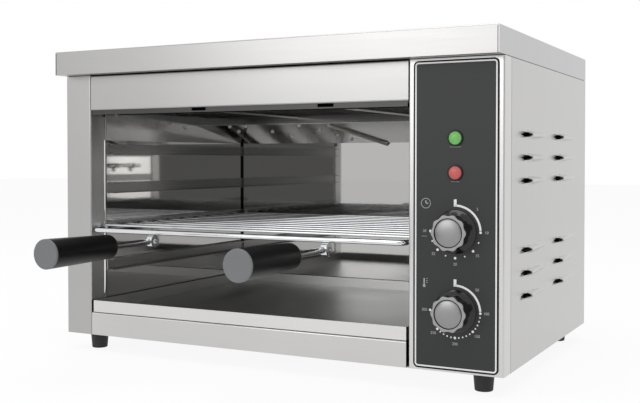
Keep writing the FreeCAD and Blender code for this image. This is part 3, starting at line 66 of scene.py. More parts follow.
MM = 0.001
NEAR = 1e-5
SLOPE_RUN, SLOPE_RISE = 107.0 * MM, 21.0 * MM
FORWARD, BACKWARD, DOWN = Vector((0, -1, 0)), Vector((0, 1, 0)), Vector((0, 0, -1))


def grey(level: float) -> Colour:
    """A neutral colour of one linear level."""
    return (level, level, level)


def shade(colour: Colour, share: float) -> Colour:
    """A colour made darker or lighter, at most white."""
    return tuple(min(1.0, part * share) for part in colour)


# Shader maths


class Link:
    """An output socket, on which Python's own operators add Math nodes."""

    def __init__(self, shader: "Shader", socket: bpy.types.NodeSocket) -> None:
        """Keeps the socket with the tree that it is in."""
        self.shader = shader
        self.socket = socket

    def _math(self, other: Number, operation: str, swapped: bool = False) -> "Link":
        """Adds one Math node.

        Args:
            other: The operator's other side.
            operation: The Math node's operation.
            swapped: Whether the other side comes first.

        Returns:
            The node's result.
        """
        first, second = (other, self) if swapped else (self, other)
        return self.shader.node("ShaderNodeMath", {"operation": operation}, {0: first, 1: second})

    __add__ = partialmethod(_math, operation="ADD")
    __radd__ = partialmethod(_math, operation="ADD", swapped=True)
    __sub__ = partialmethod(_math, operation="SUBTRACT")
    __rsub__ = partialmethod(_math, operation="SUBTRACT", swapped=True)
    __mul__ = partialmethod(_math, operation="MULTIPLY")
    __rmul__ = partialmethod(_math, operation="MULTIPLY", swapped=True)
    __gt__ = partialmethod(_math, operation="GREATER_THAN")
    __lt__ = partialmethod(_math, operation="LESS_THAN")

    def clamp(self) -> "Link":
        """The value held between 0 and 1."""
        return self.shader.node("ShaderNodeClamp", {}, {0: self})


class Shader:
    """The node tree of one material or of the world."""

    def __init__(self, tree: bpy.types.NodeTree) -> None:
        """Empties the tree."""
        self.tree = tree
        tree.nodes.clear()

    def node(
        self,
        kind: str,
        settings: Optional[dict[str, Any]] = None,
        sockets: Optional[dict[Union[str, int], Any]] = None,
        out: Union[str, int] = 0,
    ) -> Link:
        """Adds a node, sets it and joins it up.

        Args:
            kind: The node's type.
            settings: Properties of the node, with "stops" for a ramp's positions and colours.
            sockets: The value or link of each input socket, by name or by number.
            out: The output socket to hand back.

        Returns:
            The chosen output socket.
        """
        made = self.tree.nodes.new(kind)
        for name, value in (settings or {}).items():
            if name == "stops":
                self._stops(made.color_ramp, value)
            else:
                setattr(made, name, value)
        for name, value in (sockets or {}).items():
            if isinstance(value, Link):
                self.tree.links.new(value.socket, made.inputs[name])
            else:
                made.inputs[name].default_value = value
        return Link(self, made.outputs[out]) if len(made.outputs) else None

    @staticmethod
    def _stops(ramp: bpy.types.ColorRamp, stops: Sequence[tuple[float, Colour]]) -> None:
        """Gives a colour ramp its stops."""
        while len(ramp.elements) < len(stops):
            ramp.elements.new(0.5)
        for element, (position, colour) in zip(ramp.elements, stops):
            element.position = position
            element.color = (*colour, 1.0)

    def place(self, scale: Sequence[float] = (1, 1, 1)) -> Link:
        """Object coordinates, scaled."""
        spot = self.node("ShaderNodeTexCoord", out="Object")
        return self.node("ShaderNodeMapping", {"vector_type": "POINT"}, {0: spot, 3: scale})

    def axis(self, letter: str) -> Link:
        """One of the object coordinates, in metres."""
        return self.node("ShaderNodeSeparateXYZ", {}, {0: self.place()}, out=letter)

    def noise(self, spot: Link, scale: float, detail: float = 3.0, rough: float = 0.5) -> Link:
        """Smooth noise between 0 and 1."""
        sockets = {"Vector": spot, "Scale": scale, "Detail": detail, "Roughness": rough}
        return self.node("ShaderNodeTexNoise", {}, sockets)

    def blend(self, factor: Number, first: Any, second: Any) -> Link:
        """A mix of two colours."""
        ends = {n: (*c, 1.0) if isinstance(c, tuple) else c for n, c in ((6, first), (7, second))}
        return self.node("ShaderNodeMix", {"data_type": "RGBA"}, {0: factor, **ends}, out=2)

    def bump(self, height: Link, strength: float, distance: float) -> Link:
        """A normal that follows a height."""
        sockets = {"Height": height, "Strength": strength, "Distance": distance}
        return self.node("ShaderNodeBump", {}, sockets)

    def glow(self, level: float) -> Link:
        """A surface that shines in one level of grey."""
        return self.node("ShaderNodeEmission", {}, {"Color": (*grey(level), 1.0), "Strength": 1.0})

    def principled(self, **sockets: Any) -> None:
        """Ends the tree with a Principled shader.

        Args:
            sockets: Values and links by socket name, with underscores for its spaces.
        """
        named = {name.replace("_", " "): value for name, value in sockets.items()}
        for name, value in named.items():
            if isinstance(value, tuple) and len(value) == 3:
                named[name] = (*value, 1.0)
        surface = self.node("ShaderNodeBsdfPrincipled", {}, named)
        self.node("ShaderNodeOutputMaterial", {}, {"Surface": surface})


# Finishes


@dataclass(frozen=True)
class Finish:
    """What a surface is made of and how it was treated."""

    name: str
    colour: Colour
    roughness: float

    def make(self) -> bpy.types.Material:
        """Builds the finish as a material, once.

        Returns:
            The material.
        """
        name = "finish_" + self.name
        made = bpy.data.materials.get(name)
        if made is None:
            made = bpy.data.materials.new(name)
            made.use_nodes = True
            made.diffuse_color = (*self.colour, 1.0)
            self.fill(Shader(made.node_tree))
        return made

    def fill(self, shader: Shader) -> None:
        """Builds the nodes in the material's tree."""
        raise NotImplementedError


class Grain(Enum):
    """The way that a brushed finish's lines run, as the stretch of the noise behind them."""

    ALONG_X = (14.0, 900.0, 900.0)
    ALONG_Y = (900.0, 14.0, 900.0)
    ALONG_Z = (900.0, 900.0, 14.0)


@dataclass(frozen=True)
class Steel(Finish):
    """Stainless sheet with fine brushed grain, faint marks and boxes of painted light and shade in another
    grey.
    """

    grain: Grain = Grain.ALONG_X
    grain_depth: float = 0.05
    smudge: float = 0.03
    warmth: Colour = (1.0, 0.992, 0.98)
    painted_light_and_shade: Sequence[Patch] = ()

    @staticmethod
    def _inside(shader: Shader, low: Vector, high: Vector) -> Link:
        """Tells places inside a box from those outside.

        Args:
            shader: The material's tree.
            low: The box's lowest corner, in object coordinates.
            high: Its highest corner.

        Returns:
            1 inside, else 0.
        """
        inside = None
        for letter, least, most in zip("XYZ", low, high):
            place = shader.axis(letter)
            between = (place > least) * (place < most)
            inside = between if inside is None else inside * between
        return inside

    def fill(self, shader: Shader) -> None:
        """Grain drives roughness and bump; broad smudges drive colour and roughness; boxes of painted light
        and shade replace the colour.
        """
        lines = shader.noise(shader.place(scale=self.grain.value), scale=1.0, detail=4.0, rough=0.6)
        marks = shader.noise(shader.place(), scale=9.0, rough=0.55)
        tint = tuple(c * w for c, w in zip(self.colour, self.warmth))
        share = (marks * 0.7 + lines * 0.3).clamp()
        colour = shader.blend(share, shade(tint, 1 - self.smudge * 2), shade(tint, 1 + self.smudge * 2))
        rough = (lines - 0.5) * self.grain_depth * 2 + (marks - 0.5) * self.smudge * 2 + self.roughness
        # Painted light and shade: each box's grey stands in place of the steel's colour.
        for low, high, tone in self.painted_light_and_shade:
            colour = shader.blend(self._inside(shader, low, high), colour, grey(tone))
        shader.principled(
            Base_Color=colour, Metallic=1.0, Roughness=rough,
            Normal=shader.bump(lines, strength=self.grain_depth, distance=0.1 * MM))


@dataclass(frozen=True)
class Zinc(Finish):
    """Galvanised sheet with its pattern of flat crystals."""

    def fill(self, shader: Shader) -> None:
        """Crystals are the cells of a Voronoi pattern, each a little lighter or darker."""
        spot = shader.place()
        cells = shader.node("ShaderNodeTexVoronoi", {}, {"Vector": spot, "Scale": 160.0}, out="Color")
        tone = shader.node("ShaderNodeSeparateColor", {}, {0: cells})
        fine = shader.noise(spot, scale=700.0)
        colour = shader.blend(tone, shade(self.colour, 0.82), self.colour)
        shader.principled(
            Base_Color=colour, Metallic=1.0, Roughness=tone * 0.12 + fine * 0.08 + self.roughness,
            Normal=shader.bump(fine, strength=0.15, distance=0.1 * MM))


@dataclass(frozen=True)
class Plated(Finish):
    """Plated or drawn metal: nuts, screws, wires, sheathed elements."""

    mottle: float = 0.15
    mottle_scale: float = 260.0
    stain: Colour = (0.5, 0.5, 0.5)

    def fill(self, shader: Shader) -> None:
        """Fine mottle in colour and roughness, with a slightly uneven surface."""
        spot = shader.place()
        fine = shader.noise(spot, scale=self.mottle_scale, detail=4.0)
        broad = shader.noise(spot, scale=self.mottle_scale / 9, detail=2.0)
        stained = tuple(c * s for c, s in zip(self.colour, self.stain))
        colour = shader.blend((fine * 0.6 + broad * 0.4) * self.mottle * 2, self.colour, stained)
        shader.principled(
            Base_Color=colour, Metallic=1.0, Roughness=(fine - 0.5) * self.mottle + self.roughness,
            Normal=shader.bump(fine, strength=self.mottle * 0.6, distance=0.08 * MM))


@dataclass(frozen=True)
class Moulded(Finish):
    """Moulded plastic, rubber, ceramic or printed film: fine pimples and a soft sheen."""

    texture_scale: float = 1400.0
    texture: float = 0.08
    coat: float = 0.0
    drift: float = 0.06
    gloss: float = 0.5

    def fill(self, shader: Shader) -> None:
        """Fine pimples in the bump, slow drift in colour and roughness."""
        spot = shader.place()
        pimples = shader.noise(spot, scale=self.texture_scale, detail=2.0)
        slow = shader.noise(spot, scale=38.0, detail=2.0)
        dark, light = shade(self.colour, 1 - self.drift), shade(self.colour, 1 + self.drift)
        shader.principled(
            Base_Color=shader.blend(slow, dark, light),
            Roughness=(slow - 0.5) * self.drift + (pimples - 0.5) * self.texture + self.roughness,
            Coat_Weight=self.coat, Coat_Roughness=0.12, Specular_IOR_Level=self.gloss,
            Normal=shader.bump(pimples, strength=self.texture, distance=0.06 * MM))


@dataclass(frozen=True)
class Lens(Finish):
    """The coloured cap of a signal lamp: clear plastic over a small facetted diffuser."""

    def fill(self, shader: Shader) -> None:
        """Facets are the cells of a Voronoi pattern, paler towards the middle of each."""
        spot = shader.place()
        cell = shader.node("ShaderNodeTexVoronoi", {}, {"Vector": spot, "Scale": 850.0}, out="Distance")
        shader.principled(
            Base_Color=shader.blend((cell * 1.3).clamp(), self.colour, shade(self.colour, 0.72)),
            Roughness=cell * 0.15 + self.roughness, Specular_IOR_Level=0.4,
            Coat_Weight=0.2, Coat_Roughness=0.15,
            Emission_Color=(*self.colour, 1.0), Emission_Strength=0.03,
            Normal=shader.bump(cell, strength=0.2, distance=0.2 * MM))


# The outer steels are copies of one satin sheet in several greys: the side panel's, the lower rail's and the
# control panel's copies are lighter, as painted light.
SATIN_X = Steel("satin_steel_x", grey(0.42), 0.30)
SATIN_Z_LIT = Steel("satin_steel_z", grey(0.52), 0.30, grain=Grain.ALONG_Z)
RAIL_STEEL_LIT = replace(SATIN_X, colour=grey(0.57))
PILLAR_STEEL = replace(SATIN_Z_LIT, colour=grey(0.44))
PANEL_STEEL_LIT = replace(SATIN_Z_LIT, colour=grey(0.62))
# The cavity's walls are copies of one polished sheet: lighter at the sides and darker at the rear, as
# painted light and shade.
CAVITY_SIDE_LIT = Steel(
    "cavity_side_steel", grey(0.74), 0.035, grain=Grain.ALONG_Y, grain_depth=0.01, smudge=0.01)
CAVITY_REAR_SHADED = Steel("cavity_rear_steel", grey(0.46), 0.035, grain_depth=0.01, smudge=0.01)
CAVITY_TOP = Steel("cavity_top_steel", grey(0.6), 0.12, grain_depth=0.02)
RUNNER_STEEL = Steel("runner_steel", grey(0.36), 0.22, grain=Grain.ALONG_Y, grain_depth=0.02)
TRAY_STEEL = Steel("tray_steel", grey(0.66), 0.36)
ZINC = Zinc("zinc_sheet", grey(0.46), 0.32)
PLATED = Plated("plated_steel", (0.62, 0.61, 0.58), 0.26)
SPRING = Plated("spring_steel", (0.5, 0.5, 0.49), 0.3)
CHROME = Plated("chromed_wire", (0.72, 0.73, 0.74), 0.09, mottle=0.05)
SHEATH = Plated("element_sheath", (0.2, 0.19, 0.18), 0.38, mottle=0.3, stain=(0.5, 0.48, 0.52))
CERAMIC = Moulded("ceramic", (0.78, 0.75, 0.68), 0.35, texture_scale=900, texture=0.12, coat=0.2)
BLACK_PLASTIC = Moulded("black_plastic", grey(0.008), 0.36, texture=0.06, gloss=0.3)
GREY_PLASTIC = Moulded("grey_plastic", (0.165, 0.17, 0.175), 0.5, texture=0.05, gloss=0.4)
WHITE_PLASTIC = Moulded("white_plastic", (0.78, 0.77, 0.73), 0.42, texture=0.06)
BLACK_RUBBER = Moulded("black_rubber", grey(0.014), 0.62, texture=0.16, texture_scale=900)
OVERLAY = Moulded(
    "dark_overlay", (0.027, 0.028, 0.028), 0.42, texture=0.05, texture_scale=2200, drift=0.03, gloss=0.35)
SLEEVE = Moulded("lead_sleeve", (0.55, 0.16, 0.08), 0.5, texture=0.1)
NICKEL = Plated("nickelled_tube", (0.85, 0.84, 0.82), 0.15, mottle=0.06)
GREEN = Lens("green_lens", (0.18, 0.56, 0.13), 0.24)
RED = Lens("red_lens", (0.64, 0.12, 0.115), 0.24)

# Dark steel on the hood's front strip: painted shade under the header.
HOOD_SHADED = Steel("hood_shaded_steel", grey(0.07), 0.3)
# Black behind the hood's slots: painted shade.
SLOT_SHADE = Moulded("slot_painted_shade", grey(0.001), 0.6, texture=0.02, gloss=0.0)
GRIP_BLACK = Moulded("grip_black", grey(0.005), 0.36, texture=0.05, gloss=0.25)
KNOB_BLACK = Moulded("knob_black", grey(0.004), 0.2, texture=0.03, gloss=0.5)
KNOB_RIM = Moulded("knob_rim", (0.33, 0.33, 0.335), 0.34, texture=0.04)
KNOB_DISC = Plated("knob_disc", (0.29, 0.29, 0.295), 0.34, mottle=0.03, stain=(0.9, 0.9, 0.9))
BORDER_BLACK = Moulded("border_black", grey(0.004), 0.4, texture=0.04, gloss=0.2)
WHITE_INK = Moulded("white_ink", grey(0.86), 0.5, texture=0.05, texture_scale=2600)
PALE_INK = Moulded("pale_ink", grey(0.42), 0.5, texture=0.05, texture_scale=2600)
FAINT_INK = Moulded("faint_ink", grey(0.16), 0.5, texture=0.05, texture_scale=2600)

NODE_FINISHES: Sequence[tuple[Finish, str]] = (
    (SATIN_X, "rear_panel"), (SATIN_Z_LIT, "right_side_panel"), (ZINC, "base_plate"),
    (OVERLAY, "control_overlay"), (GREEN, "green_lamp_lens"), (RED, "red_lamp_lens"),
    (CAVITY_SIDE_LIT, "cavity_right_wall"), (TRAY_STEEL, "cavity_floor"),
    (RUNNER_STEEL, "left_rack_runners right_rack_runners"),
    (WHITE_PLASTIC, "lamp_holders timer_body terminal_block"),
    (CERAMIC, "thermostat_body element_bushes"),
    (PLATED, "collar_nuts element_studs foot_screws foot_nuts casing_screws"),
    (PLATED, "timer_spindle thermostat_spindle"),
    (SPRING, "element_straps bulb_clips"),
    (SHEATH, "front_heating_element middle_heating_element rear_heating_element"),
    (NICKEL, "thermostat_bulb capillary_tube"),
    (BLACK_PLASTIC, "cable_gland gland_nut left_handle_grip right_handle_grip timer_knob thermostat_knob"),
    (GREY_PLASTIC, "left_grip_cap right_grip_cap timer_knob_cap thermostat_knob_cap"),
    (SLEEVE, "internal_leads"), (BLACK_RUBBER, "rubber_feet"),
    (CHROME, "rack_frame rack_wires handle_eyes left_handle_rod right_handle_rod"),
)


def dress_nodes() -> None:
    """Gives the CAD nodes their finishes, apart from those that Casing dresses."""
    for finish, names in NODE_FINISHES:
        for name in names.split():
            Bench.dress(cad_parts[name], finish)
    LOG.info("CAD nodes have their finishes")


@dataclass
class Casing:
    """Sheets of the casing and the cavity with boxes of painted light and shade."""

    skin: float = 0.12 * MM
    deep: float = 20.0 * MM
    corner: float = 0.5 * MM
    corner_share: float = 0.35
    wall: float = 1.2 * MM
    joint: float = 3.0 * MM
    # Greys of painted shade in gaps, corners, under the header and on the tray floor, and of painted light
    # on the pillar's return and the cover's side.
    gap_shade_tone: float = 0.012
    hood_shade_tone: float = 0.22
    step_shade_tone: float = 0.3
    tray_floor_shade_tone: float = 0.43
    return_light_tone: float = 0.8
    cover_light_tone: float = 0.5

    def _ends(self, node: str) -> Sequence[Patch]:
        """The two ends of a rail, painted dark behind its front face: painted shade in the gaps beside it.
        """
        low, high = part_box(node)
        front, reach = low.y + self.skin, self.skin * 2
        return [(Vector((side - reach, front, low.z - reach)),
                 Vector((side + reach, front + self.deep, high.z)), self.gap_shade_tone)
                for side in (low.x, high.x)]

    def _pillar(self) -> Sequence[Patch]:
        """The left pillar's return: painted light on it, and painted shade beside the header and the tray.
        """
        low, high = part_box("left_side_panel")
        front = low.y + self.skin
        spans = [(low.z, high.z, self.deep * 2, self.return_light_tone)]
        for node in ("header_rail", "crumb_tray"):
            foot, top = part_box(node)
            spans.append((foot.z, top.z, self.deep / 4, self.gap_shade_tone))
        return [(Vector((high.x - self.skin * 2, front, foot)),
                 Vector((high.x + self.skin, front + depth, top)), tone) for foot, top, depth, tone in spans]

    def _panel_corner(self) -> Sequence[Patch]:
        """Painted shade on the folded right corner of the control panel."""
        low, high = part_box("control_panel")
        start = low.z + (high.z - low.z) * self.corner_share
        return [(Vector((high.x - self.corner, low.y - self.skin, start)),
                 Vector((high.x + self.skin, low.y + self.corner, high.z)), self.gap_shade_tone)]

    def _left_joint(self) -> Sequence[Patch]:
        """The left wall's side of the open joint in the cavity's rear corner, darkened as painted shade."""
        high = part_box("cavity_left_wall")[1]
        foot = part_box("cavity_rear_wall")[0].z
        return [(Vector((high.x - self.wall, high.y - self.joint, foot)),
                 high + Vector((self.wall, 0, 0)), self.gap_shade_tone)]

    def _rear_joint(self) -> Sequence[Patch]:
        """The rear wall's side of the same joint, darkened as painted shade."""
        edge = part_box("cavity_left_wall")[1].x + self.wall
        low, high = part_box("cavity_rear_wall")
        return [(Vector((edge, low.y - self.skin, low.z)),
                 Vector((edge + self.wall, high.y, high.z)), self.gap_shade_tone)]

    def _hood(self) -> Sequence[Patch]:
        """The hood's front edge and the step above its slope, both darkened with painted shade."""
        low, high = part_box("heater_hood")
        step = high.y - SLOPE_RUN
        return [
            (low + Vector((3, -1, -1)) * self.wall,
             Vector((high.x, low.y, high.z)) + Vector((1, 1, 1)) * self.wall, self.hood_shade_tone),
            (Vector((low.x, step - self.wall, low.z + SLOPE_RISE)),
             Vector((high.x, step + self.wall, high.z)), self.step_shade_tone)]

    def _tray(self) -> Sequence[Patch]:
        """The tray's floor, darkened with painted shade between its brighter lip and upstands."""
        low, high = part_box("crumb_tray")
        wall = Vector((1, 1, 0)) * self.wall
        return [(low + wall, Vector((high.x, high.y, low.z + self.wall * 1.5)) - wall, self.tray_floor_shade_tone)]

    def _cover(self) -> Sequence[Patch]:
        """Painted light on the top cover's right side."""
        low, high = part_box("top_cover")
        return [(Vector((high.x - self.skin, low.y + self.wall, low.z)),
                 high + Vector((self.skin, 0, 0)), self.cover_light_tone)]

    def build(self) -> None:
        """Dresses the sheets, with their painted light and shade."""
        rows = (
            ("header_rail", SATIN_X, self._ends("header_rail")),
            ("lower_front_rail", RAIL_STEEL_LIT, self._ends("lower_front_rail")),
            ("left_side_panel", PILLAR_STEEL, self._pillar()),
            ("control_panel", PANEL_STEEL_LIT, self._panel_corner()),
            ("cavity_left_wall", CAVITY_SIDE_LIT, self._left_joint()),
            ("cavity_rear_wall", CAVITY_REAR_SHADED, self._rear_joint()),
            ("heater_hood", CAVITY_TOP, self._hood()),
            ("crumb_tray", TRAY_STEEL, self._tray()),
            ("top_cover", SATIN_X, self._cover()),
        )
        for node, finish, painted_light_and_shade in rows:
            Bench.dress(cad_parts[node], replace(finish, name=node + "_steel", painted_light_and_shade=painted_light_and_shade))
        LOG.info("sheets of the casing and the cavity have their finishes")


# The modelling bench


class Pick(Enum):
    """What an edit-mode selection is made of."""

    VERTS = "VERT"
    EDGES = "EDGE"
    FACES = "FACE"


class Bench:
    """Steps of hand modelling, each one an operator on what is selected."""

    @staticmethod
    def release() -> None:
        """Leaves edit mode and deselects everything."""
        if bpy.context.object is not None and bpy.context.object.mode != "OBJECT":
            bpy.ops.object.mode_set(mode="OBJECT")
        bpy.ops.object.select_all(action="DESELECT")

    @staticmethod
    def hold(*items: Piece) -> None:
        """Selects these objects alone, the first one active."""
        Bench.release()
        for item in items:
            item.select_set(True)
        bpy.context.view_layer.objects.active = items[0]

    @staticmethod
    def add(name: str, primitive: Callable[..., Any], **sizes: Any) -> Piece:
        """Adds a primitive at its size and place.

        Args:
            name: The object's name.
            primitive: The operator that adds it.
            sizes: The operator's arguments.

        Returns:
            The new object, at the origin with its place in its mesh.
        """
        Bench.release()
        primitive(**sizes)
        item = bpy.context.object
        item.name = item.data.name = name
        Bench.settle(item)
        return item

    @staticmethod
    def settle(item: Piece) -> None:
        """Moves an object's place, turn and scale into its mesh."""
        Bench.hold(item)
        bpy.ops.object.transform_apply(location=True, rotation=True, scale=True)

    @staticmethod
    @contextmanager
    def editing(item: Piece) -> Iterator[None]:
        """Edit mode on one object, with nothing selected at the start."""
        Bench.hold(item)
        bpy.ops.object.mode_set(mode="EDIT")
        bpy.ops.mesh.select_all(action="DESELECT")
        yield
        bpy.ops.object.mode_set(mode="OBJECT")

    @staticmethod
    def fit(item: Piece, low: Vector, high: Vector) -> Piece:
        """Stretches a unit shape from corner to corner.

        Args:
            item: The shape, with sides of 1 m about the origin.
            low: The lowest corner.
            high: The highest corner, level with the lowest across a flat shape.

        Returns:
            The same object.
        """
        with Bench.editing(item):
            Bench.everything()
            bpy.ops.transform.resize(value=[side or 1.0 for side in high - low])
            bpy.ops.transform.translate(value=tuple((low + high) / 2))
        return item

    @staticmethod
    def block(name: str, low: Vector, high: Vector) -> Piece:
        """A box between two corners, to be shaped further."""
        return Bench.fit(Bench.add(name, bpy.ops.mesh.primitive_cube_add, size=1.0), low, high)

    @staticmethod
    def sheet(name: str, turn: Sequence[float], low: Vector, high: Vector) -> Piece:
        """A flat sheet between two corners.

        Args:
            name: The object's name.
            turn: The plane's turn about X, Y and Z in degrees.
            low: The lowest corner.
            high: The highest corner.

        Returns:
            The new object.
        """
        turn = tuple(math.radians(angle) for angle in turn)
        item = Bench.add(name, bpy.ops.mesh.primitive_plane_add, size=1.0, rotation=turn)
        return Bench.fit(item, low, high)

    @staticmethod
    def everything() -> None:
        """Selects all of the mesh in edit mode."""
        bpy.ops.mesh.select_all(action="SELECT")

    @staticmethod
    def cut(axis: int, place: float) -> None:
        """Cuts the whole mesh in edit mode at one place along an axis."""
        normal = Vector([float(number == axis) for number in range(3)])
        Bench.everything()
        bpy.ops.mesh.bisect(plane_co=tuple(normal * place), plane_no=tuple(normal))

    @staticmethod
    def pick(item: Piece, kind: Pick, test: Callable[[Any], bool]) -> None:
        """Selects the vertices, edges or faces that pass a test on place or normal.

        Args:
            item: The object in edit mode.
            kind: What to select.
            test: Tells whether one of them is wanted.
        """
        bpy.ops.mesh.select_mode(type=kind.value)
        mesh = bmesh.from_edit_mesh(item.data)
        group = {Pick.VERTS: mesh.verts, Pick.EDGES: mesh.edges, Pick.FACES: mesh.faces}[kind]
        wanted = [element for element in group if test(element)]
        bpy.ops.mesh.select_all(action="DESELECT")
        for element in wanted:
            element.select_set(True)
        mesh.select_flush_mode()
        bmesh.update_edit_mesh(item.data)

    @staticmethod
    def round_corners(item: Piece, size: float, steps: int) -> None:
        """Rounds the edges that run from front to back.

        Args:
            item: The object in edit mode.
            size: The bevel's width.
            steps: Its number of segments.
        """
        Bench.pick(item, Pick.EDGES, lambda e: abs(e.verts[0].co.y - e.verts[1].co.y) > NEAR)
        bpy.ops.mesh.bevel(offset=size, segments=steps, affect="EDGES")

    @staticmethod
    def paint(item: Piece, slot: int) -> None:
        """Gives the selected faces one of the piece's materials."""
        item.active_material_index = slot
        bpy.ops.object.material_slot_assign()

    @staticmethod
    def modify(item: Piece, kind: str, **settings: Any) -> None:
        """Adds a modifier and applies it.

        Args:
            item: The object.
            kind: The modifier's type.
            settings: The modifier's properties.
        """
        Bench.hold(item)
        made = item.modifiers.new(kind.lower(), kind)
        for name, value in settings.items():
            setattr(made, name, value)
        bpy.ops.object.modifier_apply(modifier=made.name)

    @staticmethod
    def smooth(item: Piece, angle: float) -> None:
        """Smooth shading up to an angle in degrees."""
        Bench.hold(item)
        bpy.ops.object.shade_smooth_by_angle(angle=math.radians(angle))

    @staticmethod
    def dress(item: Piece, *finishes: Finish) -> None:
        """Gives a piece its materials, in the order of its slots."""
        item.data.materials.clear()
        for finish in finishes:
            item.data.materials.append(finish.make())

    @staticmethod
    def join(name: str, items: Sequence[Piece]) -> Piece:
        """Joins several objects into the first one.

        Args:
            name: The new name.
            items: The objects.

        Returns:
            The joined object.
        """
        Bench.hold(*items)
        if len(items) > 1:
            bpy.ops.object.join()
        items[0].name = items[0].data.name = name
        return items[0]

    @staticmethod
    def turned(
        name: str, profile: Points, centre: Vector, axis: Vector = FORWARD, steps: int = 64,
        start: float = 0.0, angle: float = 360.0,
    ) -> Piece:
        """A turned piece: a profile drawn point by point and spun about an axis.

        Args:
            name: The object's name.
            profile: Pairs of place along the axis and radius.
            centre: The axis's origin.
            axis: The axis's direction.
            steps: Steps of the spin.
            start: Where the profile stands before the spin, in degrees.
            angle: How far it is spun, in degrees.

        Returns:
            The new object.
        """
        side = Vector((1, 0, 0)) if abs(axis.x) < 0.5 else Vector((0, 0, 1))
        side = Matrix.Rotation(math.radians(start), 3, axis) @ side
        points = [centre + axis * along + side * radius for along, radius in profile]
        item = Bench.add(name, bpy.ops.mesh.primitive_plane_add, size=MM)
        with Bench.editing(item):
            bpy.ops.mesh.select_mode(type="VERT")
            Bench.everything()
            bpy.ops.mesh.merge(type="CENTER")
            bpy.ops.transform.translate(value=tuple(points[0]))
            for before, after in zip(points, points[1:]):
                bpy.ops.mesh.extrude_region_move(TRANSFORM_OT_translate={"value": tuple(after - before)})
            Bench.everything()
            bpy.ops.mesh.spin(steps=steps, angle=math.radians(angle), center=tuple(centre), axis=tuple(axis))
            Bench.everything()
            bpy.ops.mesh.remove_doubles(threshold=NEAR / 10)
            bpy.ops.mesh.normals_make_consistent(inside=False)
        return item


def arc_points(
    along: float, radius: float, size: float, begin: float, end: float, count: int = 5
) -> Points:
    """Points of a rounded corner in a turned profile.

    Args:
        along: Place of the arc's centre along the axis.
        radius: Radius of the arc's centre from the axis.
        size: The arc's own radius.
        begin: First angle in degrees, 0 along the axis and 90 outwards.
        end: Last angle.
        count: Number of steps.

    Returns:
        Pairs of place along the axis and radius.
    """
    angles = [math.radians(begin + (end - begin) * step / count) for step in range(count + 1)]
    return [(along + size * math.cos(a), max(0.0, radius + size * math.sin(a))) for a in angles]


def band(inner: float, outer: float, height: float) -> Points:
    """The closed profile of a flat ring or disc."""
    return [(0, inner), (height, inner), (height, outer), (0, outer), (0, inner)]


def mount(
    item: Piece, body: str, slot: str, *nodes: str,
    finish: Optional[Finish] = None, angle: Optional[float] = None,
) -> None:
    """Completes a piece, which then rides on its body and stands for its CAD nodes.

    Args:
        item: The piece.
        body: The body that it rides on.
        slot: The record's material slot, which is not used.
        nodes: The CAD nodes that it replaces.
        finish: Its finish, where it has none yet.
        angle: Where its shading is smooth, the largest angle in degrees.
    """
    if finish is not None:
        Bench.dress(item, finish)
    if angle is not None:
        Bench.smooth(item, angle)
    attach(item, body)
    if nodes:
        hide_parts(*nodes)
    LOG.info("%s rides on %s%s", item.name, body, f", for {', '.join(nodes)}" if nodes else "")


def on_overlay(node: str) -> Vector:
    """The middle of a CAD node, brought to the front of the overlay."""
    low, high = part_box(node)
    return Vector(((low.x + high.x) / 2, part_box("control_overlay")[0].y, (low.z + high.z) / 2))


# Control panel


@dataclass
class ControlOverlay:
    """Dark printed film on the control panel, with a black edge and a white line inside it."""

    corner: float = 4.5 * MM
    edge: float = 1.5 * MM
    line: float = 1.3 * MM
    segments: int = 8

    def build(self) -> None:
        """A thin plate with rounded corners, whose front is inset twice for the two borders."""
        item = Bench.block("overlay_film", *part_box("control_overlay"))
        Bench.dress(item, OVERLAY, BORDER_BLACK, WHITE_INK)
        with Bench.editing(item):
            Bench.round_corners(item, self.corner, self.segments)
            Bench.everything()
            Bench.paint(item, 1)
            Bench.pick(item, Pick.FACES, lambda f: f.normal.y < -0.9)
            bpy.ops.mesh.inset(thickness=self.edge)
            Bench.paint(item, 2)
            bpy.ops.mesh.inset(thickness=self.line)
            Bench.paint(item, 0)
        mount(item, "cabinet", "dark_overlay", "control_overlay")


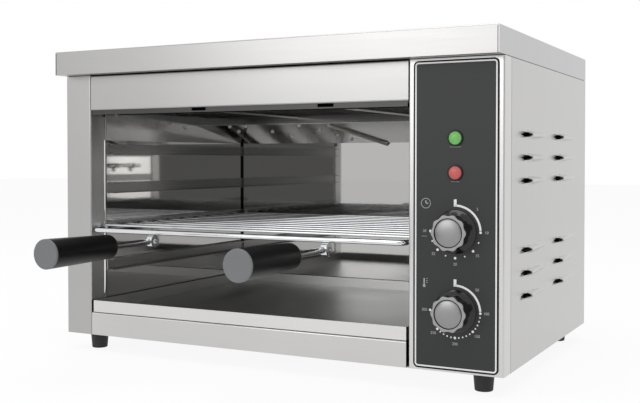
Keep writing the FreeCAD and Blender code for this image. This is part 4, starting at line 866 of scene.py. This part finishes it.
@dataclass
class Scale:
    """Printed scale round one knob: a pointer line, a thick arc, dots and plain numbers."""

    name: str
    count_by: int
    small_dots: Sequence[float]
    pitch: float = 45.0
    last: int = 6
    ring: float = 22.5 * MM
    line: float = 1.8 * MM
    arc_start: float = 90.0
    arc_sweep: float = 86.0
    tick_top: float = 27.7 * MM
    tick_half: float = 1.26 * MM
    dot: float = 1.15 * MM
    small_dot: float = 0.7 * MM
    number_ring: float = 27.8 * MM
    number_height: float = 3.4 * MM
    ink: float = 0.12 * MM

    def _at(self, angle: float, radius: float) -> Vector:
        """A place on the overlay, clockwise in degrees from straight up."""
        turn = math.radians(angle)
        return on_overlay(self.name + "_knob") + Vector((math.sin(turn), 0, math.cos(turn))) * radius

    def _dot(self, angle: float, radius: float) -> Piece:
        """A printed dot on the ring."""
        high = self.ink
        profile = [(0, 0), (high, 0), (high, radius * 0.8), (high / 2, radius), (0, radius), (0, 0)]
        return Bench.turned("dot", profile, self._at(angle, self.ring), steps=16)

    def _marks(self) -> Piece:
        """Arc, pointer line and dots.

        Returns:
            All of them as one piece.
        """
        half = self.line / 2
        arc = Bench.turned(
            "arc", band(self.ring - half, self.ring + half, self.ink), self._at(0, 0), steps=32,
            start=self.arc_start, angle=self.arc_sweep)
        tick = Bench.block(
            "tick", self._at(0, self.ring) + Vector((-self.tick_half, -self.ink, -half)),
            self._at(0, self.tick_top) + Vector((self.tick_half, 0, 0)))
        dots = [self._dot(self.pitch * count, self.dot) for count in range(2, self.last + 1)]
        dots += [self._dot(angle, self.small_dot) for angle in self.small_dots]
        return Bench.join(self.name + "_marks", [arc, tick, *dots])

    def _number(self, count: int) -> Piece:
        """One plain number outside the ring.

        Args:
            count: Its place on the scale, from 1.

        Returns:
            The number as a mesh.
        """
        Bench.release()
        bpy.ops.object.text_add(rotation=(math.radians(90), 0, 0))
        word = bpy.context.object
        word.data.body = str(self.count_by * count)
        word.data.size = self.number_height
        word.data.extrude = self.ink / 2
        word.data.align_x = word.data.align_y = "CENTER"
        word.location = self._at(self.pitch * count, self.number_ring) + FORWARD * self.ink / 2
        bpy.ops.object.convert(target="MESH")
        Bench.settle(word)
        return word

    def build(self) -> None:
        """Prints the scale."""
        mount(self._marks(), "cabinet", "dark_overlay", finish=WHITE_INK)
        numbers = [self._number(count) for count in range(1, self.last + 1)]
        mount(Bench.join(self.name + "_numbers", numbers), "cabinet", "dark_overlay", finish=PALE_INK)


@dataclass
class Signs:
    """Small printed signs: a clock, a thermometer and short bars as captions."""

    ink: float = 0.12 * MM
    clock_spot: tuple[float, float] = (-26.7, 145.2)
    clock_ring: tuple[float, float] = (4.0 * MM, 4.45 * MM)
    hand: float = 0.99
    stem_spot: tuple[float, float] = (-28.1, 76.4)
    bulb: float = 1.3 * MM
    captions: Sequence[tuple[float, float, float]] = ((0, 193.7, 10.5), (0, 164.1, 7.6), (-28.1, 116.6, 5.2))
    caption_height: float = 0.8

    def _spot(self, across: float, height: float) -> Vector:
        """A place on the overlay, right of the knobs' line and above the panel's foot, in millimetres."""
        spot = on_overlay("timer_knob")
        return Vector((spot.x + across * MM, spot.y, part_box("control_panel")[0].z + height * MM))

    def _bar(self, spot: Vector, across: float, up: float, wide: float, high: float) -> Piece:
        """A printed bar with rounded ends.

        Args:
            spot: The sign's place.
            across: How far right of it the bar's middle is, in millimetres, as the rest is.
            up: How far above it.
            wide: The bar's width.
            high: The bar's height.

        Returns:
            The bar.
        """
        centre = spot + Vector((across, 0, up)) * MM
        half = Vector((wide, 0, high)) * MM / 2
        item = Bench.block("bar", centre - half + FORWARD * self.ink, centre + half)
        with Bench.editing(item):
            Bench.round_corners(item, min(wide, high) * MM * 0.4, 3)
        return item

    def _clock(self) -> list[Piece]:
        """A ring with two hands."""
        spot = self._spot(*self.clock_spot)
        ring = Bench.turned("ring", band(*self.clock_ring, self.ink), spot, steps=40)
        return [ring, self._bar(spot, 0, 0.9, self.hand, 3.0), self._bar(spot, 0.9, -0.1, 2.6, self.hand)]

    def _thermometer(self) -> list[Piece]:
        """A stem with a bulb and three short lines beside it."""
        spot = self._spot(*self.stem_spot)
        bulb = Bench.turned("bulb", band(0, self.bulb, self.ink), spot + DOWN * 2.8 * MM, steps=20)
        lines = [self._bar(spot, 2.5, up, 1.6, 0.4) for up in (0, 1.7, 3.4)]
        return [bulb, self._bar(spot, 0, 0, 1.1, 7.6), *lines]

    def build(self) -> None:
        """Prints the signs."""
        signs = Bench.join("panel_signs", self._clock() + self._thermometer())
        mount(signs, "cabinet", "dark_overlay", finish=PALE_INK)
        bars = [self._bar(self._spot(x, z), 0, 0, wide, self.caption_height) for x, z, wide in self.captions]
        mount(Bench.join("panel_bars", bars), "cabinet", "dark_overlay", finish=FAINT_INK)


@dataclass
class SignalLamp:
    """Domed lens of a signal lamp in its thin black collar."""

    colour: str
    finish: Finish
    rim: float = 0.4 * MM
    collar: float = 0.75 * MM
    collar_rise: float = 1.4 * MM
    collar_round: float = 0.3 * MM
    stem: float = 4.4 * MM
    seat: float = 0.1 * MM
    dome: float = 2.0 * MM

    def build(self) -> None:
        """Collar and lens are turned, and the stem goes back through the panel as the CAD one does."""
        node = self.colour + "_lamp_lens"
        low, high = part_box(node)
        centre = on_overlay(node)
        inner = (high.x - low.x) / 2 - self.rim
        outer = inner + self.rim + self.collar
        bend = self.collar_rise - self.collar_round
        profile = [
            (0, inner), (0, outer), (bend - self.collar_round, outer),
            *arc_points(bend, outer - self.collar_round, self.collar_round, 90, 0),
            (self.collar_rise, inner), (0, inner)]
        collar = Bench.turned(node + "_collar", profile, centre)
        mount(collar, "cabinet", "black_plastic", finish=BLACK_PLASTIC, angle=40)
        depth = high.y - centre.y
        wall = centre.y - low.y - self.dome
        angles = [math.radians(angle) for angle in range(80, -1, -10)]
        profile = [(-depth, 0), (-depth, self.stem), (0, self.stem), (self.seat, inner), (wall, inner)]
        profile += [(wall + self.dome * math.cos(a), inner * math.sin(a)) for a in angles]
        lens = Bench.turned(node + "_cap", profile, centre)
        mount(lens, "cabinet", self.colour + "_lens", node, finish=self.finish, angle=50)


@dataclass
class Knob:
    """Lobed control knob: black skirt and sides, satin rim, domed disc in a dark ring."""

    name: str
    bore: float = 3.2 * MM
    skirt: float = 18.9 * MM
    skirt_height: float = 3.4 * MM
    grip: float = 15.7 * MM
    foot: float = 15.0 * MM
    cone: float = 2.0 * MM
    rim: float = 12.5 * MM
    groove: float = 1.5 * MM
    disc: float = 11.7 * MM
    disc_edge: float = 1.1 * MM
    dome_steps: int = 11
    dome_share: float = 11 / 11.6
    dome_power: float = 2.4
    lobes: int = 10
    steps: int = 8
    lobe_depth: float = 1.3 * MM

    def _shell(self, centre: Vector, back: float, front: float) -> Piece:
        """The knob's body: a turned profile whose sides are drawn in between the lobes.

        Args:
            centre: The knob's axis on the overlay.
            back: Place of its back along the axis.
            front: Place of its front.

        Returns:
            The body.
        """
        top = self.skirt_height
        profile = [
            (back, self.bore), (back, self.skirt - 0.6 * MM), (back + 0.5 * MM, self.skirt),
            *arc_points(top - self.cone - 0.4 * MM, self.skirt - 0.5 * MM, 0.5 * MM, 90, 40, 3),
            (top + 0.35 * MM, self.foot + 0.5 * MM), (top + 0.9 * MM, self.foot),
            (top + 3.0 * MM, self.foot + 0.2 * MM), (top + 7.0 * MM, self.grip - 0.35 * MM),
            (front - 2.2 * MM, self.grip),
            *arc_points(front - 1.2 * MM, self.grip - 1.2 * MM, 1.2 * MM, 80, 0, 4),
            (front, self.rim + 0.35 * MM), (front - 0.35 * MM, self.rim),
            (front - self.groove, self.disc + 0.25 * MM), (front - self.groove, self.bore),
            (back, self.bore)]
        item = Bench.turned(self.name + "_knob_shell", profile, centre, steps=self.lobes * self.steps)
        with Bench.editing(item):
            for level in range(1, self.steps // 2 + 1):
                self._draw_in(item, centre, level)
        return item

    def _draw_in(self, item: Piece, centre: Vector, level: int) -> None:
        """Scales the sides at one distance from the lobes' crests towards the axis.

        Args:
            item: The body in edit mode.
            centre: The knob's axis on the overlay.
            level: The distance in steps of the turned profile.
        """
        pitch = 360.0 / (self.lobes * self.steps)
        dip = (1 - math.cos(2 * math.pi * level / self.steps)) / 2

        def on_level(vert: bmesh.types.BMVert) -> bool:
            """Whether a vertex of the sides is that far from a crest."""
            place = vert.co - centre
            step = round(math.degrees(math.atan2(place.z, place.x)) / pitch) % self.steps
            raised = -place.y > self.skirt_height + 0.6 * MM
            outside = math.hypot(place.x, place.z) > self.rim + 0.5 * MM
            return raised and outside and min(step, self.steps - step) == level

        Bench.pick(item, Pick.VERTS, on_level)
        share = 1 - dip * self.lobe_depth / self.grip
        bpy.ops.transform.resize(value=(share, 1, share), center_override=tuple(centre))

    def _paint(self, item: Piece, centre: Vector, front: float) -> None:
        """Dresses the body: black plastic with a satin face on the rim.

        Args:
            item: The body.
            centre: The knob's axis on the overlay.
            front: Place of its front along the axis.
        """
        def on_rim(face: bmesh.types.BMFace) -> bool:
            """Whether a face belongs to the rim's front."""
            place = face.calc_center_median() - centre
            outside = math.hypot(place.x, place.z) > self.rim + 0.05 * MM
            return outside and -place.y > front - 1.7 * MM and face.normal.y < -0.12

        Bench.dress(item, KNOB_BLACK, KNOB_RIM)
        with Bench.editing(item):
            Bench.pick(item, Pick.FACES, on_rim)
            Bench.paint(item, 1)

    def build(self) -> None:
        """Body and disc, over the CAD knob and cap."""
        node, body = self.name + "_knob", self.name + "_dial"
        low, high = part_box(node)
        centre = on_overlay(node)
        front = centre.y - low.y
        item = self._shell(centre, centre.y - high.y, front)
        self._paint(item, centre, front)
        mount(item, body, "black_plastic", node, angle=42)
        peak = centre.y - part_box(node + "_cap")[0].y
        seat = front - self.groove
        edge = seat + self.disc_edge
        shares = [step / self.dome_steps for step in range(self.dome_steps, 0, -1)]
        dome = [(edge + (peak - edge) * (1 - share ** self.dome_power), self.disc * self.dome_share * share)
                for share in shares]
        profile = [(seat, 0), (seat, self.disc - 0.2 * MM), (edge - 0.3 * MM, self.disc), *dome, (peak, 0)]
        disc = Bench.turned(self.name + "_disc", profile, centre, steps=72)
        mount(disc, body, "grey_plastic", node + "_cap", finish=KNOB_DISC, angle=40)


# Casing


@dataclass
class SidePanel:
    """Right side sheet with two columns of pressed louvres, each torn open towards the front."""

    thickness: float = 0.9 * MM
    front: float = 19.6 * MM
    back_gap: float = 0.1 * MM
    wrap_step: Vector = field(default_factory=lambda: Vector((-1.05, 0.2, 0)) * MM)
    wrap_depth: float = 13.0 * MM
    flange: float = 14.0 * MM
    first_lip: float = 70.4 * MM
    column_pitch: float = 117.4 * MM
    rows: Sequence[float] = (205.3, 184.7, 164.1, 102.2, 81.6, 61.0)
    ramp: float = 39.5 * MM
    reach: float = 71.1 * MM
    half_width: float = 5.2 * MM
    cells: int = 14
    lip_cell: int = 5
    lip_rise: float = 5.2 * MM
    lip_rows: float = 3.05
    lip_power: float = 0.5
    rear_rows: tuple[float, float] = (5.9, 4.3)
    rear_power: float = 0.85
    fall_power: float = 0.9
    dent: float = 2.4 * MM
    dent_rows: float = 3.4
    dent_power: float = 1.6
    mouth: float = 2.1
    mouth_rows: tuple[float, float] = (0.6, 1.5)
    slack: float = 0.01

    @cached_property
    def lips(self) -> Points:
        """Lip place and middle height of every louvre."""
        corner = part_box("control_panel")[0]
        return [(corner.y + self.first_lip + self.column_pitch * column, corner.z + row * MM)
                for column in (0, 1) for row in self.rows]

    def _rise(self, column: int, row: int) -> float:
        """How far a louvre's vertex moves outwards.

        Args:
            column: Its place from front to back, in cells of the louvre's grid.
            row: Its place above the louvre's middle line.

        Returns:
            The move, which is inwards in front of the lip.
        """
        behind = column - self.lip_cell
        if behind < 0:
            share = max(0.0, 1 - (row / self.dent_rows) ** 2)
            return -self.dent * (column / self.lip_cell) ** self.dent_power * share
        along = behind / (self.cells - self.lip_cell)
        rows, power = self.lip_rows, self.lip_power
        if behind > 0:
            rows, power = self.rear_rows[0] - self.rear_rows[1] * along, self.rear_power
        return self.lip_rise * (1 - along) ** self.fall_power * max(0.0, 1 - (row / rows) ** 2) ** power

    def _cell(self, spot: Vector) -> Optional[tuple[float, float]]:
        """The column and row of a place in its louvre's grid, if it has one."""
        for lip, z in self.lips:
            column = (spot.y - lip + self.ramp) / (self.ramp + self.reach) * self.cells
            row = (spot.z - z) / (self.half_width * 2) * self.cells
            inside = -self.slack < column < self.cells + self.slack
            if inside and abs(row) < self.cells / 2 + self.slack:
                return column, row
        return None

    def _grid(self, item: Piece) -> None:
        """Cuts the sheet along the louvres' borders and divides each louvre into cells."""
        ahead, behind, wide = self.ramp, self.reach, self.half_width
        for place in sorted({round(lip + side, 6) for lip, _z in self.lips for side in (-ahead, behind)}):
            Bench.cut(1, place)
        for place in sorted({round(z + side, 6) for _lip, z in self.lips for side in (-wide, wide)}):
            Bench.cut(2, place)
        Bench.pick(item, Pick.FACES, lambda face: self._cell(face.calc_center_median()) is not None)
        bpy.ops.mesh.subdivide(number_cuts=self.cells - 1)

    def _press(self, item: Piece) -> None:
        """Opens the mouths and presses the louvres, one grid place of all of them at a time."""
        def torn(face: bmesh.types.BMFace) -> bool:
            """Whether a face lies in the open mouth, a drop that widens towards the lip."""
            column, row = self._cell(face.calc_center_median()) or (0, 0)
            ahead = self.lip_cell - column
            narrow, widening = self.mouth_rows
            return 0 < ahead < self.mouth and abs(row) < narrow + (2 - ahead) * widening

        Bench.pick(item, Pick.FACES, torn)
        bpy.ops.mesh.delete(type="FACE")
        for column in range(1, self.cells):
            for row in range(self.cells // 2):
                def here(vert: bmesh.types.BMVert) -> bool:
                    """Whether a vertex is at this place of its louvre."""
                    cell = self._cell(vert.co)
                    if cell is None:
                        return False
                    return max(abs(cell[0] - column), abs(abs(cell[1]) - row)) < self.slack * 10

                out = self._rise(column, row)
                if out:
                    Bench.pick(item, Pick.VERTS, here)
                    bpy.ops.transform.translate(value=(out, 0, 0))

    def _fold(self, item: Piece, front: float, back: float) -> None:
        """Folds the front and rear edges inwards, as the CAD panel's are.

        Args:
            item: The sheet in edit mode.
            front: Place of its front edge.
            back: Place of its rear edge.
        """
        def at(place: float) -> Callable[[bmesh.types.BMEdge], bool]:
            """A test for the border edges at one place from front to back."""
            return lambda e: e.is_boundary and all(abs(v.co.y - place) < NEAR for v in e.verts)

        Bench.pick(item, Pick.EDGES, at(back))
        bpy.ops.mesh.extrude_region_move(TRANSFORM_OT_translate={"value": (-self.flange, 0, 0)})
        Bench.pick(item, Pick.EDGES, at(front))
        bpy.ops.mesh.extrude_region_move(TRANSFORM_OT_translate={"value": tuple(self.wrap_step)})
        bpy.ops.mesh.extrude_region_move(TRANSFORM_OT_translate={"value": (0, -self.wrap_depth, 0)})

    def build(self) -> None:
        """The panel, over the CAD one."""
        low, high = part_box("control_panel")
        front = low.y + self.front
        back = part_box("right_side_panel")[1].y - self.back_gap
        item = Bench.sheet(
            "side_sheet", (0, 90, 0), Vector((high.x, front, low.z)), Vector((high.x, back, high.z)))
        with Bench.editing(item):
            self._grid(item)
            self._press(item)
            self._fold(item, front, back)
        Bench.modify(item, "SOLIDIFY", thickness=self.thickness, offset=-1.0)
        mount(item, "cabinet", "satin_stainless", "right_side_panel", finish=SATIN_Z_LIT, angle=50)


@dataclass
class Grip:
    """Black moulded grip of one rack handle, with its flat grey end disc."""

    side: str
    rear_round: float = 4.5 * MM
    taper_share: float = 0.86
    bore: float = 3.05 * MM
    sink: float = 0.8 * MM
    disc_edge: float = 0.5 * MM

    def build(self) -> None:
        """Both pieces are turned about the handle rod's axis."""
        grip_node, cap_node = self.side + "_handle_grip", self.side + "_grip_cap"
        low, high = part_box(grip_node)
        cap_low, cap_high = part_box(cap_node)
        radius = (high.x - low.x) / 2
        centre = Vector(((low.x + high.x) / 2, low.y, (low.z + high.z) / 2))
        length = high.y - low.y
        rear = radius * self.taper_share
        profile = [
            (0, self.bore), (0, radius - 0.3 * MM), (0.3 * MM, radius), (length / 2, (radius + rear) / 2),
            *arc_points(length - self.rear_round, rear - self.rear_round, self.rear_round, 90, 0, 8),
            (length, self.bore + 1.6 * MM), (length - self.sink, self.bore + 0.9 * MM),
            (length - self.sink, self.bore), (0, self.bore)]
        grip = Bench.turned(self.side + "_grip_body", profile, centre, axis=BACKWARD, steps=72)
        mount(grip, "grill_rack", "black_plastic", grip_node, finish=GRIP_BLACK, angle=35)
        thick, edge = cap_high.y - cap_low.y, self.disc_edge
        profile = [
            (0, 0), (0, radius), *arc_points(thick - edge, radius - edge, edge, 90, 0, 4),
            (thick - 0.12 * MM, radius - 3 * MM), (thick - 0.15 * MM, 0)]
        face = Vector((centre.x, cap_high.y, centre.z))
        disc = Bench.turned(self.side + "_grip_disc", profile, face, steps=72)
        mount(disc, "grill_rack", "grey_plastic", cap_node, finish=GREY_PLASTIC, angle=35)


@dataclass
class HoodTrim:
    """Front strip of the hood with its two slots, in dark steel as painted shade, and the tube and spacers
    under its slope, whose pale colour is also painted highlight.
    """

    strip_depth: float = 4.5 * MM
    strip_back: float = 1.3 * MM
    sheet: float = 0.8 * MM
    clear: float = 1.0 * MM
    slots: Sequence[tuple[float, float]] = ((159.3, 175.8), (298.6, 315.1))
    slot_height: float = 3.1 * MM
    shade_gap: float = 0.1 * MM
    tube: float = 1.6 * MM
    tube_ends: tuple[float, float] = (213.5, 240.0)
    spacer: float = 2.1 * MM
    spacers: Sequence[tuple[float, float]] = (
        (78.4, 6.0), (75.3, 31.5), (101.2, 6.0), (121.0, 34.4), (133.5, 60.5), (145.5, 82.1),
        (173.3, 6.0), (185.4, 33.2), (197.0, 58.4), (204.8, 81.5))

    def _across(self, place: float) -> float:
        """A place in millimetres right of the cabinet's left side."""
        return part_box("top_cover")[0].x + place * MM

    def _strip(self, slots: Points) -> None:
        """A narrow plate behind the header's lower edge, with two slots that open upwards, dark as painted
        shade under the header.

        Args:
            slots: Left and right side of each slot.
        """
        low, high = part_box("header_rail")
        place = low.y + self.strip_back
        item = Bench.sheet(
            "hood_front_strip", (90, 0, 0), Vector((low.x + self.clear, place, low.z - self.strip_depth)),
            Vector((high.x - self.clear, place, low.z)))
        foot = low.z - self.slot_height
        with Bench.editing(item):
            for side in (side for slot in slots for side in slot):
                Bench.cut(0, side)
            Bench.cut(2, foot)

            def in_slot(face: bmesh.types.BMFace) -> bool:
                """Whether a face lies in one of the slots."""
                spot = face.calc_center_median()
                return spot.z > foot and any(left < spot.x < right for left, right in slots)

            Bench.pick(item, Pick.FACES, in_slot)
            bpy.ops.mesh.delete(type="FACE")
        Bench.modify(item, "SOLIDIFY", thickness=self.sheet, offset=0.0)
        mount(item, "cabinet", "satin_stainless", finish=HOOD_SHADED)

    def _shades(self, slots: Points) -> None:
        """Black plates behind the slots: painted shade for the dark space above the hood.

        Args:
            slots: Left and right side of each slot.
        """
        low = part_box("header_rail")[0]
        front, foot = low.y + self.strip_back + self.sheet, low.z - self.slot_height - self.sheet / 2
        plates = [Bench.block("shade", Vector((left - self.sheet, front, foot)),
                              Vector((right + self.sheet, front + self.sheet, low.z - self.shade_gap)))
                  for left, right in slots]
        mount(Bench.join("hood_slot_shades", plates), "cabinet", "satin_stainless", finish=SLOT_SHADE)

    def _under(self, across: float, y: float) -> Vector:
        """The place on the slope's underside that is so far across and back."""
        low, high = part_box("heater_hood")
        return Vector((self._across(across), y, low.z + SLOPE_RISE * (high.y - y) / SLOPE_RUN))

    def _tube(self, top: float, foot: float) -> None:
        """A pale ceramic tube that runs down the slope, whose pale colour also stands in for a streak of
        painted reflection there.

        Args:
            top: Place of the slope's front end.
            foot: Place of its rear end.
        """
        drop = DOWN * (self.tube + self.clear)
        start = self._under(self.tube_ends[0], top + self.clear) + drop
        run = self._under(self.tube_ends[1], foot - self.clear) + drop - start
        profile = [(0, 0), (0, self.tube), (run.length, self.tube), (run.length, 0)]
        item = Bench.turned("hood_slope_tube", profile, start, axis=run.normalized(), steps=20)
        mount(item, "cabinet", "ceramic", finish=CERAMIC, angle=50)

    def build(self) -> None:
        """Adds all of the trim."""
        slots = [tuple(self._across(side) for side in slot) for slot in self.slots]
        self._strip(slots)
        self._shades(slots)
        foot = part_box("heater_hood")[1].y
        self._tube(foot - SLOPE_RUN, foot)
        # Pale ceramic spacers under the slope; their pale colour also stands in for bright dots of painted
        # highlight there.
        profile = [(0, 0), (0, self.spacer), *arc_points(self.clear, 0, self.spacer, 90, 0, 4)]
        spots = [self._under(across, foot - SLOPE_RUN + along * MM) for across, along in self.spacers]
        heads = [Bench.turned("spacer", profile, spot, axis=DOWN, steps=14) for spot in spots]
        mount(Bench.join("hood_spacers", heads), "cabinet", "ceramic", finish=CERAMIC, angle=50)


# Studio


def backdrop(name: str, surface: Callable[[Shader], Link], **plane: Any) -> Piece:
    """Adds a plane of the studio, which isn't part of the object.

    Args:
        name: The plane's and its material's name.
        surface: Builds the material's nodes and hands back the surface.
        plane: Arguments of the operator that adds the plane.

    Returns:
        The plane.
    """
    Bench.release()
    bpy.ops.mesh.primitive_plane_add(**plane)
    item = bpy.context.object
    item.name = name
    material = bpy.data.materials.new(name)
    material.use_nodes = True
    shader = Shader(material.node_tree)
    shader.node("ShaderNodeOutputMaterial", {}, {"Surface": surface(shader)})
    item.data.materials.append(material)
    return item


@dataclass
class Softbox:
    """One soft lamp of the studio."""

    name: str
    spot: Vector
    aim: Vector
    width: float
    height: float
    power: float
    spread: float = 180.0

    def build(self) -> None:
        """Adds the lamp and turns it to its aim."""
        lamp = bpy.data.lights.new(self.name, "AREA")
        lamp.shape = "RECTANGLE"
        lamp.size = self.width
        lamp.size_y = self.height
        lamp.energy = self.power
        lamp.spread = math.radians(self.spread)
        item = bpy.data.objects.new(self.name, lamp)
        bpy.context.scene.collection.objects.link(item)
        item.location = self.spot
        item.rotation_euler = (self.aim - self.spot).to_track_quat("-Z", "Y").to_euler()
        item.visible_camera = False
        LOG.info("lamp %s", self.name)


@dataclass
class DarkCard:
    """Dark card beside the camera: the unlit side of the room, seen only in polished metal."""

    spot: Vector = field(default_factory=lambda: Vector((1.15, -1.6, 0.28)))
    width: float = 1.15
    height: float = 1.0
    turn: float = 34.0
    tone: float = 0.19

    def build(self) -> None:
        """A plane that neither the camera nor dull surfaces see, and that throws no shadow."""
        card = backdrop(
            "studio_card", lambda shader: shader.glow(self.tone), size=1.0, location=self.spot,
            rotation=(math.radians(90), 0, math.radians(self.turn)))
        card.scale = (self.width, self.height, 1.0)
        card.visible_camera = card.visible_diffuse = card.visible_shadow = False
        LOG.info("dark card")


@dataclass
class Studio:
    """White floor and background, soft lamps and the camera of the picture."""

    floor_size: float = 14.0
    floor_albedo: float = 0.92
    floor_glow: float = 0.9
    world_fill: float = 0.7
    sensor: float = 36.0
    lens: float = 54.32
    shift: float = -0.0327
    nearest: float = 0.02
    eye: Vector = field(default_factory=lambda: Vector((0.4684, -0.8713, 0.2005)))
    tilt: Vector = field(default_factory=lambda: Vector((88.748, 0.0, 27.37)))
    boxes: Sequence[Softbox] = field(default_factory=lambda: (
        Softbox("key_box", Vector((-0.75, -2.2, 0.88)), Vector((0, 0, 0.15)),
                width=1.2, height=1.0, power=8.0),
        Softbox("top_box", Vector((0, -0.2, 1.9)), Vector((0, 0, 0)),
                width=1.6, height=1.2, power=16.0),
        Softbox("kick_box", Vector((-0.845, -1.26, 0.125)), Vector((0.091, -0.088, 0.125)),
                width=0.15, height=0.24, power=0.0006, spread=10.0),
    ))

    def _seen(self, shader: Shader) -> Link:
        """1 for a ray that shows the background itself or its reflection, else 0."""
        camera, glossy, through = (
            shader.node("ShaderNodeLightPath", out=f"Is {kind} Ray")
            for kind in ("Camera", "Glossy", "Transmission"))
        return (camera + glossy + through).clamp()

    def _world(self) -> None:
        """White where it is seen, a softer fill where it lights dull surfaces."""
        world = bpy.data.worlds.new("studio_world")
        bpy.context.scene.world = world
        world.use_nodes = True
        shader = Shader(world.node_tree)
        strength = self._seen(shader) * (1 - self.world_fill) + self.world_fill
        sky = shader.node("ShaderNodeBackground", {}, {"Color": (1, 1, 1, 1), "Strength": strength})
        shader.node("ShaderNodeOutputWorld", {}, {"Surface": sky})

    def _floor(self, shader: Shader) -> Link:
        """A pale surface that reads white and keeps the shadow."""
        dull = shader.node("ShaderNodeBsdfDiffuse", {}, {"Color": (*grey(self.floor_albedo), 1.0)})
        share = self._seen(shader) * self.floor_glow
        return shader.node("ShaderNodeMixShader", {}, {0: share, 1: dull, 2: shader.glow(1.0)})

    def _camera(self) -> None:
        """The camera at the photograph's place."""
        data = bpy.data.cameras.new("studio_camera")
        data.sensor_width = self.sensor
        data.lens = self.lens
        data.shift_y = self.shift
        data.clip_start = self.nearest
        camera = bpy.data.objects.new("studio_camera", data)
        bpy.context.scene.collection.objects.link(camera)
        camera.location = self.eye
        camera.rotation_euler = [math.radians(angle) for angle in self.tilt]
        bpy.context.scene.camera = camera

    def build(self) -> None:
        """Builds the whole studio."""
        bpy.context.scene.view_settings.view_transform = "Standard"
        self._world()
        backdrop("studio_floor", self._floor, size=self.floor_size, location=(0, 0, 0))
        self._camera()
        for box in self.boxes:
            box.build()
        DarkCard().build()


def main() -> None:
    """Builds the studio and dresses the part."""
    bpy.ops.object.select_all(action="DESELECT")
    Studio().build()
    dress_nodes()
    Casing().build()
    ControlOverlay().build()
    Scale("timer", 5, (112.5, 157.5, 202.5, 247.5)).build()
    Scale("thermostat", 50, [angle + step * 9 for angle in (90, 135, 180) for step in (1, 2, 3, 4)]).build()
    Signs().build()
    for colour, finish in (("green", GREEN), ("red", RED)):
        SignalLamp(colour, finish).build()
    for name in ("timer", "thermostat"):
        Knob(name).build()
    SidePanel().build()
    for side in ("left", "right"):
        Grip(side).build()
    HoodTrim().build()


if __name__ == "__main__":
    main()
